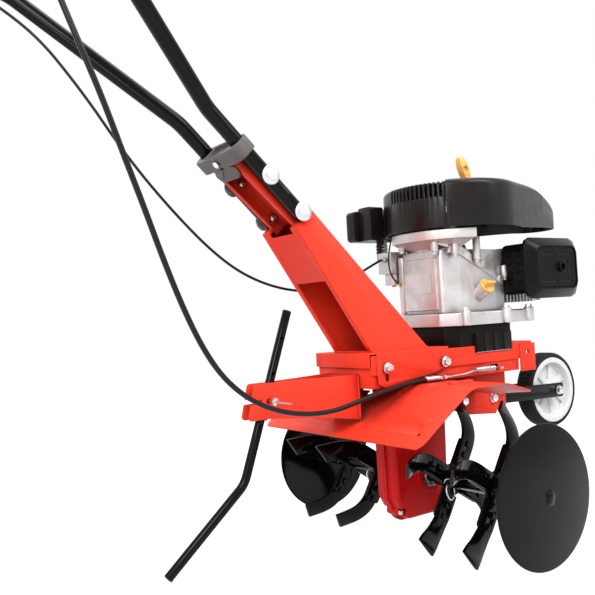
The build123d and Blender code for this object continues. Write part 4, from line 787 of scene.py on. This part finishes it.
class TILLER_OT_engine(bpy.types.Operator):
    """Finishes the engine's castings and adds their bosses, bolts, ribs and the rear pad's raised frame"""
    bl_idname = "tiller.engine"
    bl_label = "Engine castings"

    def execute(self, context):
        sizes = context.scene.tiller_sizes
        for node in ("sump", "crankcase", "cylinder_block", "cylinder_head", "dipstick"):
            rounded(node, sizes.casting_edge, segments=3)
        rounded("belt_cover", sizes.moulding_edge, "panel_black")
        rounded("deck_bolts", sizes.bolt_edge)
        nuts = []
        for side in SIDES:
            for x in (13, -145):
                place = (x, side * 91, 236)
                nuts.append(bolt_head("saddle_nut", place, (0, side, 0), across=15.0, height=9.0))
        settle(join("saddle_nuts", nuts), "zinc", "chassis")
        bosses, heads = [], []
        places = ((40, 46, 500, 478), (40, -54, 490, 466), (76, -78, 484, 458), (139, -82, 496, 446),
                  (243, -66, 434, 408))
        for x, y, top, low in places:
            bosses.append(bolt_boss("case_boss", x, y, top, low))
            heads.append(bolt_head("case_bolt", (x, y, low - 1.0), (0, 0, -1)))
        settle(join("case_bosses", bosses), "aluminium", "chassis")
        settle(join("case_flange_bolts", heads), "zinc", "chassis")
        self.pad_frame()
        self.case_wall()
        self.rim_rib()
        terminal = bolt_head("stop_terminal", (46, 64, 403), (-1, 0, 0), across=7.0, height=5.0)
        settle(terminal, "brass", "chassis")
        return {"FINISHED"}

    def case_wall(self):
        """The wall that carries the rear pad out to the left."""
        wall = box("case_left_wall", 46, 108, 54, 70.5, 338, 464)
        round_where(wall, lambda m, d: abs(d.z) > 0.9 and m.x < 50, radius=5.0, segments=4)
        soften(wall, 2.0, segments=3)
        settle(wall, "aluminium", "chassis")

    def rim_rib(self):
        """The rib that follows the crankcase's rim from corner to corner."""
        corners = ((47, 69, 491), (46, 42, 497), (46, -57, 484), (64, -70, 477), (106, -72, 457),
                   (204, -68, 410))
        ribs = []
        for start, end in zip(corners, corners[1:]):
            rib = bar("case_rib", start, end, radius=4.2, vertices=12)
            pick(rib, lambda m, n: n.z > 0.5)
            push(0.0, 0.0, 5.0)
            stop_editing()
            ribs.append(rib)
        rib = join("case_rim_rib", ribs)
        soften(rib, 0.8)
        settle(rib, "aluminium", "chassis")

    def pad_frame(self):
        """A raised border on the bare rear pad."""
        piece = box("rear_pad_frame", 45.0, 46.5, -34, 50, 378, 426)
        pick(piece, lambda m, n: n.x < -0.9)
        inset(3.0)
        push(0.9, 0.0, 0.0)
        stop_editing()
        soften(piece, 0.35)
        settle(piece, "aluminium", "chassis")


class TILLER_OT_covers(bpy.types.Operator):
    """Finishes the shroud, the recoil cover and the starter's grip and rope"""
    bl_idname = "tiller.covers"
    bl_label = "Shroud and starter"

    def execute(self, context):
        sizes = context.scene.tiller_sizes
        rounded("blower_shroud", sizes.moulding_edge, angle=38.0, first=self.round_nose)
        rounded("recoil_cover", sizes.moulding_edge, angle=38.0)
        self.grip()
        rope = ribbed("starter_rope_strands", (*STARTER, 562), (*STARTER, 596), radius=1.9, pitch=2.4,
                      share=0.6, height=0.3, vertices=12)
        settle(rope, "rubber", None, replaces=("starter_rope",))
        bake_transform(rope)
        return {"FINISHED"}

    def round_nose(self, piece):
        """Rounds the crease where the falling top meets the side walls."""
        ahead = STANDING.to_3x3() @ Vector((1, 0, 0))
        cut(piece, [in_place(x, 0, 560) / MM for x in range(300, 486, 9)], ahead)
        cut(piece, [in_place(400, y, 560) / MM for y in range(-88, 89, 8)], (0, 1, 0))
        nose = piece.vertex_groups.new(name="nose")
        for vertex in piece.data.vertices:
            if in_level(vertex.co / MM).x > 291:
                nose.add([vertex.index], 1.0, "REPLACE")
        clear_selection()
        bpy.ops.object.add(type="LATTICE", location=in_place(390, 0, 572), rotation=(0.0, -LEAN, 0.0))
        cage = bpy.context.object
        cage.scale = (0.200, 0.200, 0.090)
        cage.data.points_u, cage.data.points_v, cage.data.points_w = 5, 5, 3
        # How far each row of the cage falls, at its ends and in its middle.
        fall = {2: (0.03, 0.0), 3: (0.16, 0.07), 4: (0.82, 0.55)}
        for point in cage.data.points:
            row = round((point.co.x + 0.5) * 4)
            edge, middle = fall.get(row, (0.0, 0.0))
            drop = middle + (edge - middle) * abs(point.co.y) * 2
            point.co_deform.z -= drop * (point.co.z + 0.5)
        bpy.context.view_layer.update()
        apply_modifier(piece, "LATTICE", object=cage, vertex_group="nose")
        piece.vertex_groups.clear()
        bpy.data.objects.remove(cage)

    def grip(self):
        """The pull grip: narrow at the rope, broad at the top, with a sunk window on both sides."""
        piece = box("starter_grip_finished", -11, 11, -8, 8, 0, 81)
        rings = ((0, 0.40, 0.62), (13, 0.48, 0.66), (30, 0.74, 0.88), (43, 0.94, 1.0), (61, 0.94, 1.0),
                 (74, 0.72, 0.84), (81, 0.42, 0.56))
        cut(piece, [(0, 0, ring[0]) for ring in rings[1:-1]], (0, 0, 1))
        for height, wide, deep in rings:
            pick(piece, lambda m, d, z=height: abs(m.z - z) < 0.1 and abs(d.z) < 0.1, "EDGE")
            bpy.ops.transform.resize(value=(wide, deep, 1.0), center_override=(0.0, 0.0, height * MM))
        pick(piece, lambda m, n: abs(n.y) > 0.9 and 43 < m.z < 61)
        inset(3.2, each=True)
        inset(0.4, -5.0, each=True)
        pick(piece, lambda m, n: abs(n.y) > 0.7 and 13 < m.z < 30)
        inset(3.0, each=True)
        inset(0.5, -1.6, each=True)
        stop_editing()
        soften(piece, 1.8, segments=3, angle=25.0)
        up = Vector((-0.4, 0.0, 0.92)).normalized()
        turn = Matrix((Vector((up.z, 0.0, -up.x)), Vector((0.0, 1.0, 0.0)), up)).transposed().to_4x4()
        activate(piece)
        piece.matrix_world = Matrix.Translation(Vector((*STARTER, 598.0)) * MM) @ turn
        apply_place()
        settle(piece, "orange_plastic", "starter_grip", smooth=40.0, replaces=("starter_grip",))


class TILLER_OT_muffler(bpy.types.Operator):
    """Finishes the muffler and makes its guard, with the slotted front panel"""
    bl_idname = "tiller.muffler"
    bl_label = "Muffler"

    def execute(self, context):
        rounded("muffler", ROUNDING["muffler"])
        self.guard()
        self.panel()
        return {"FINISHED"}

    def guard(self):
        """A wide bevelled front with a sunk face, on a narrower box with louvres in its rear side."""
        rear, ahead, low, top = 232, 414, 355, 490
        back, rim, front = -127, -133, -152
        shoulder = 11.0
        wall = rear + shoulder
        piece = box("muffler_guard_finished", rear, ahead, rim, back, low, top)
        round_where(piece, lambda m, d: abs(d.y) > 0.9, radius=22.0, segments=2)
        pick(piece, lambda m, n: n.y < -0.9)
        push(0.0, front - rim, 0.0)
        middle = Vector((rear + ahead, 2 * front, low + top)) * (MM / 2)
        bpy.ops.transform.resize(value=(0.78, 1.0, 0.72), center_override=middle)
        pick(piece, lambda m, n: n.y < -0.9 and m.y < front + 1)
        inset(2.4)
        push(0.0, 4.5, 0.0)
        pick(piece, lambda m, n: n.y > 0.9)
        inset(shoulder)
        push(0.0, 63.0, 0.0)
        bpy.ops.mesh.delete(type="FACE")
        stop_editing()
        columns = ((-121, -99), (-93, -71))
        rows = [(386 + 21 * i, 396 + 21 * i) for i in range(4)]
        cut(piece, [(0, y, 0) for column in columns for y in column], (0, 1, 0))
        cut(piece, [(0, 0, z) for row in rows for z in row], (0, 0, 1))

        def on_louvre(m, n):
            in_column = any(a < m.y < b for a, b in columns)
            in_row = any(a < m.z < b for a, b in rows)
            return n.x < -0.9 and m.x < wall + 2 and in_column and in_row

        pick(piece, on_louvre)
        inset(1.2)
        push(2.0, 0.0, 0.0)
        stop_editing()
        soften(piece, 1.6, segments=3)
        settle(piece, "satin_black", "chassis", smooth=40.0, replaces=("muffler_guard",))
        second_finish(piece, "panel_black", lambda m, n: n.x < -0.9 and in_level(m).x > wall + 1.2)

    def panel(self):
        """The dark front panel with its rows of slots, whose floors are painted a little lighter to stand in
        for the light seen through them.
        """
        front = -149.6
        piece = box("guard_panel", 257, 389, front, -147.2, 379, 466)
        round_where(piece, lambda m, d: abs(d.y) > 0.9, radius=13.0, segments=5)
        slots = [(270, 318, 448, 456), (326, 376, 448, 456)]
        for row in range(3):
            z = 434 - row * 14
            slots += [(354, 363, z - 4, z + 4), (369, 379, z - 4, z + 4)]
        slots += [(270, 324, 387, 395), (332, 376, 387, 395)]
        slotted(piece, -1, slots, border=0.8, depth=1.6)
        soften(piece, 0.3, segments=1)
        settle(piece, "panel_black", "chassis")
        # Painted light: the sunk slot floors get the lighter rubber finish, standing in for the background
        # and glints seen through the slots.
        second_finish(piece, "tyre_rubber", lambda m, n: n.y < -0.9 and m.y > front + 1)


class TILLER_OT_fuel(bpy.types.Operator):
    """Finishes the tank, the carburettor and the air filter"""
    bl_idname = "tiller.fuel"
    bl_label = "Fuel and air"

    def execute(self, context):
        sizes = context.scene.tiller_sizes
        for node in ("fuel_tank", "fuel_cap", "air_filter"):
            rounded(node, sizes.moulding_edge, segments=3)
        self.carburettor()
        self.tank_seam()
        self.filter_clip()
        return {"FINISHED"}

    def carburettor(self):
        """The cast body, and the black elbow that leads to the filter."""
        piece = copied("carburettor", "carburettor_body")
        stop_editing()

        def on_elbow(m, n):
            place = in_level(m)
            return place.y > 116.4 and place.z > 430

        pick(piece, on_elbow)
        bpy.ops.mesh.separate(type="SELECTED")
        stop_editing()
        elbow = next(o for o in bpy.context.selected_objects if o is not piece)
        rename(elbow, "intake_elbow")
        dress(piece, "aluminium", "chassis", replaces=("carburettor",))
        dress(elbow, "black_plastic", "chassis")

    def tank_seam(self):
        """The welded seam round the tank."""
        piece = box("tank_seam", 174, 332, 110, 184, 462, 466)
        round_where(piece, lambda m, d: abs(d.z) > 0.9, radius=15.0, segments=6)
        pick(piece, lambda m, n: abs(n.z) < 0.2)
        swell(1.2)
        stop_editing()
        soften(piece, 0.6)
        settle(piece, "black_plastic", "chassis")

    def filter_clip(self):
        """Ribs and the catch of the filter cover."""
        ribs = []
        for i in range(4):
            rib = box("filter_rib", -6 + i * 26, -1 + i * 26, 169.5, 171.6, 518, 568)
            inset_where(rib, lambda m, n: n.y > 0.9, 1.0, 0.6)
            ribs.append(rib)
        catch = box("filter_catch", 22, 58, 134, 146, 577.6, 583)
        inset_where(catch, lambda m, n: n.z > 0.9, 2.0, 1.2)
        piece = join("filter_details", ribs + [catch])
        soften(piece, 0.5)
        settle(piece, "black_plastic", "chassis")


class TILLER_OT_drive(bpy.types.Operator):
    """Finishes the clutch linkage and the drive inside the deck"""
    bl_idname = "tiller.drive"
    bl_label = "Drive"

    def execute(self, context):
        sizes = context.scene.tiller_sizes
        for node in ("clutch_rod", "idler_arm", "crankshaft", "worm_shaft"):
            rounded(node, sizes.bolt_edge)
        return {"FINISHED"}


class TILLER_OT_cables(bpy.types.Operator):
    """Lays the clutch cable, the throttle cable and the stop wire"""
    bl_idname = "tiller.cables"
    bl_label = "Cables"

    def execute(self, context):
        self.lay("clutch_cable_run", CLUTCH_ROUTE, diameter=0.009, full_length=1.233,
                 nodes=("clutch_cable",), bend=CLUTCH_BEND)
        self.lay("throttle_cable_run", THROTTLE_ROUTE, diameter=0.0055, full_length=1.057,
                 nodes=("throttle_cable",), bend=THROTTLE_BEND)
        self.lay("stop_wire", STOP_ROUTE, diameter=0.0034, full_length=0.122)
        return {"FINISHED"}

    def lay(self, name, route, diameter, full_length, nodes=(), bend=None):
        """A round cable along its route; one with a bend is left free of the bodies, one without rides on the
        chassis.
        """
        curve = bpy.data.curves.new(name, "CURVE")
        curve.dimensions = "3D"
        curve.resolution_u = 10
        spline = curve.splines.new("NURBS")
        spline.points.add(len(route) - 1)
        for point, place in zip(spline.points, route):
            point.co = (*in_place(*place), 1.0)
        spline.order_u = 3
        spline.use_endpoint_u = True
        cable = add_to_scene(name, curve)
        path = [vertex.co.copy() for vertex in cable.to_mesh().vertices]
        cable.to_mesh_clear()
        curve.bevel_depth = diameter / 2.0
        curve.bevel_resolution = 5
        curve.use_fill_caps = True
        curve.materials.append(FINISHES["black_plastic"])
        activate(cable)
        bpy.ops.object.convert(target="MESH")
        cable = bpy.context.object
        cable.name = name
        bpy.ops.object.shade_smooth_by_angle(angle=math.radians(50.0))
        if bend:
            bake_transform(cable)
        else:
            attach(cable, "chassis")
        if nodes:
            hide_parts(*nodes)


class TILLER_OT_finishes(bpy.types.Operator):
    """Paints the pieces that keep their plain shape"""
    bl_idname = "tiller.finishes"
    bl_label = "Finishes"

    def execute(self, context):
        for node, obj in NODES.items():
            if not obj.material_slots:
                raise RuntimeError(node + " has no material slot")
            obj.material_slots[0].material = FINISHES[own_finish(node)]
        return {"FINISHED"}


class TILLER_OT_stage(bpy.types.Operator):
    """Sets up the camera, the floor, the surroundings and the lamps"""
    bl_idname = "tiller.stage"
    bl_label = "Stage"

    def execute(self, context):
        scene = context.scene
        scene.view_settings.view_transform = "Standard"
        clear_selection()
        lens = bpy.data.cameras.new("photo_camera")
        lens.lens = scene.tiller_sizes.lens
        lens.sensor_width = SENSOR_WIDTH
        camera = add_to_scene("photo_camera", lens)
        camera.location = CAMERA_PLACE
        camera.rotation_euler = CAMERA_TURN
        scene.camera = camera
        bpy.ops.mesh.primitive_plane_add(size=FLOOR_SIZE)
        floor = context.object
        floor.name = "studio_floor"
        floor.data.materials.append(self.floor_material())
        self.light_world(scene)
        for lamp in LAMPS:
            self.add_lamp(*lamp)
        return {"FINISHED"}

    def seen_by(self, tree, shown, light):
        """A strength for what the camera and reflections see, and one for the light on the object."""
        path = node_link(tree, "ShaderNodeLightPath")
        sight = path.outputs["Is Camera Ray"]
        for ray in ("Is Glossy Ray", "Is Transmission Ray"):
            sight = node_link(tree, "ShaderNodeMath", {0: sight, 1: path.outputs[ray]},
                              operation="MAXIMUM").outputs[0]
        return node_link(tree, "ShaderNodeMapRange", {"Value": sight, "To Min": light,
                                                      "To Max": shown}).outputs["Result"]

    def floor_material(self):
        """White floor that keeps the machine's shadow."""
        material = bpy.data.materials.new("studio_white")
        material.use_nodes = True
        tree = material.node_tree
        tree.nodes.clear()
        level = self.seen_by(tree, FLOOR_SHOWN, FLOOR_LIGHT)
        glow = node_link(tree, "ShaderNodeEmission", {"Strength": level})
        paper = node_link(tree, "ShaderNodeBsdfDiffuse", {"Color": (FLOOR_GREY, FLOOR_GREY, FLOOR_GREY, 1.0)})
        both = node_link(tree, "ShaderNodeAddShader", {0: glow.outputs[0], 1: paper.outputs[0]})
        node_link(tree, "ShaderNodeOutputMaterial", {"Surface": both.outputs[0]})
        return material

    def light_world(self, scene):
        """White surroundings for the camera and for reflections, and a soft light from all round."""
        world = bpy.data.worlds.new("studio_world")
        world.use_nodes = True
        scene.world = world
        tree = world.node_tree
        sky = tree.nodes["Background"]
        sky.inputs["Color"].default_value = (1.0, 1.0, 1.0, 1.0)
        tree.links.new(self.seen_by(tree, WORLD_SHOWN, WORLD_LIGHT), sky.inputs["Strength"])

    def add_lamp(self, name, place, aim, size, power, height):
        """A round lamp, or an upright strip when it has a height."""
        light = bpy.data.lights.new(name, "AREA")
        light.shape = "RECTANGLE" if height else "DISK"
        light.size = size
        light.size_y = height or size
        light.energy = power
        lamp = add_to_scene(name, light)
        lamp.location = place
        lamp.rotation_euler = (Vector(aim) - Vector(place)).to_track_quat("-Z", "Y").to_euler()


class TILLER_PT_panel(bpy.types.Panel):
    """Lists the steps that finish the tiller"""
    bl_label = "Tiller"
    bl_idname = "TILLER_PT_panel"
    bl_space_type = "VIEW_3D"
    bl_region_type = "UI"
    bl_category = "Tiller"

    def draw(self, context):
        layout = self.layout
        for operator in OPERATORS:
            layout.operator(operator.bl_idname)
        for group in (context.scene.tiller_colours, context.scene.tiller_sizes):
            for name in group.__annotations__:
                layout.prop(group, name)


OPERATORS = (
    TILLER_OT_sheet_metal, TILLER_OT_handlebar, TILLER_OT_gear_case, TILLER_OT_rotor, TILLER_OT_wheel,
    TILLER_OT_stake, TILLER_OT_engine, TILLER_OT_covers, TILLER_OT_muffler, TILLER_OT_fuel, TILLER_OT_drive,
    TILLER_OT_cables, TILLER_OT_finishes, TILLER_OT_stage,
)
CLASSES = (TillerColours, TillerSizes) + OPERATORS + (TILLER_PT_panel,)


def register():
    for cls in CLASSES:
        bpy.utils.register_class(cls)
    bpy.types.Scene.tiller_colours = PointerProperty(type=TillerColours)
    bpy.types.Scene.tiller_sizes = PointerProperty(type=TillerSizes)


def unregister():
    del bpy.types.Scene.tiller_colours
    del bpy.types.Scene.tiller_sizes
    for cls in reversed(CLASSES):
        bpy.utils.unregister_class(cls)


def main():
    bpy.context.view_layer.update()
    register()
    make_finishes(bpy.context.scene.tiller_colours)
    for operator in OPERATORS:
        group, name = operator.bl_idname.split(".")
        getattr(getattr(bpy.ops, group), name)()


if __name__ == "__main__":
    main()
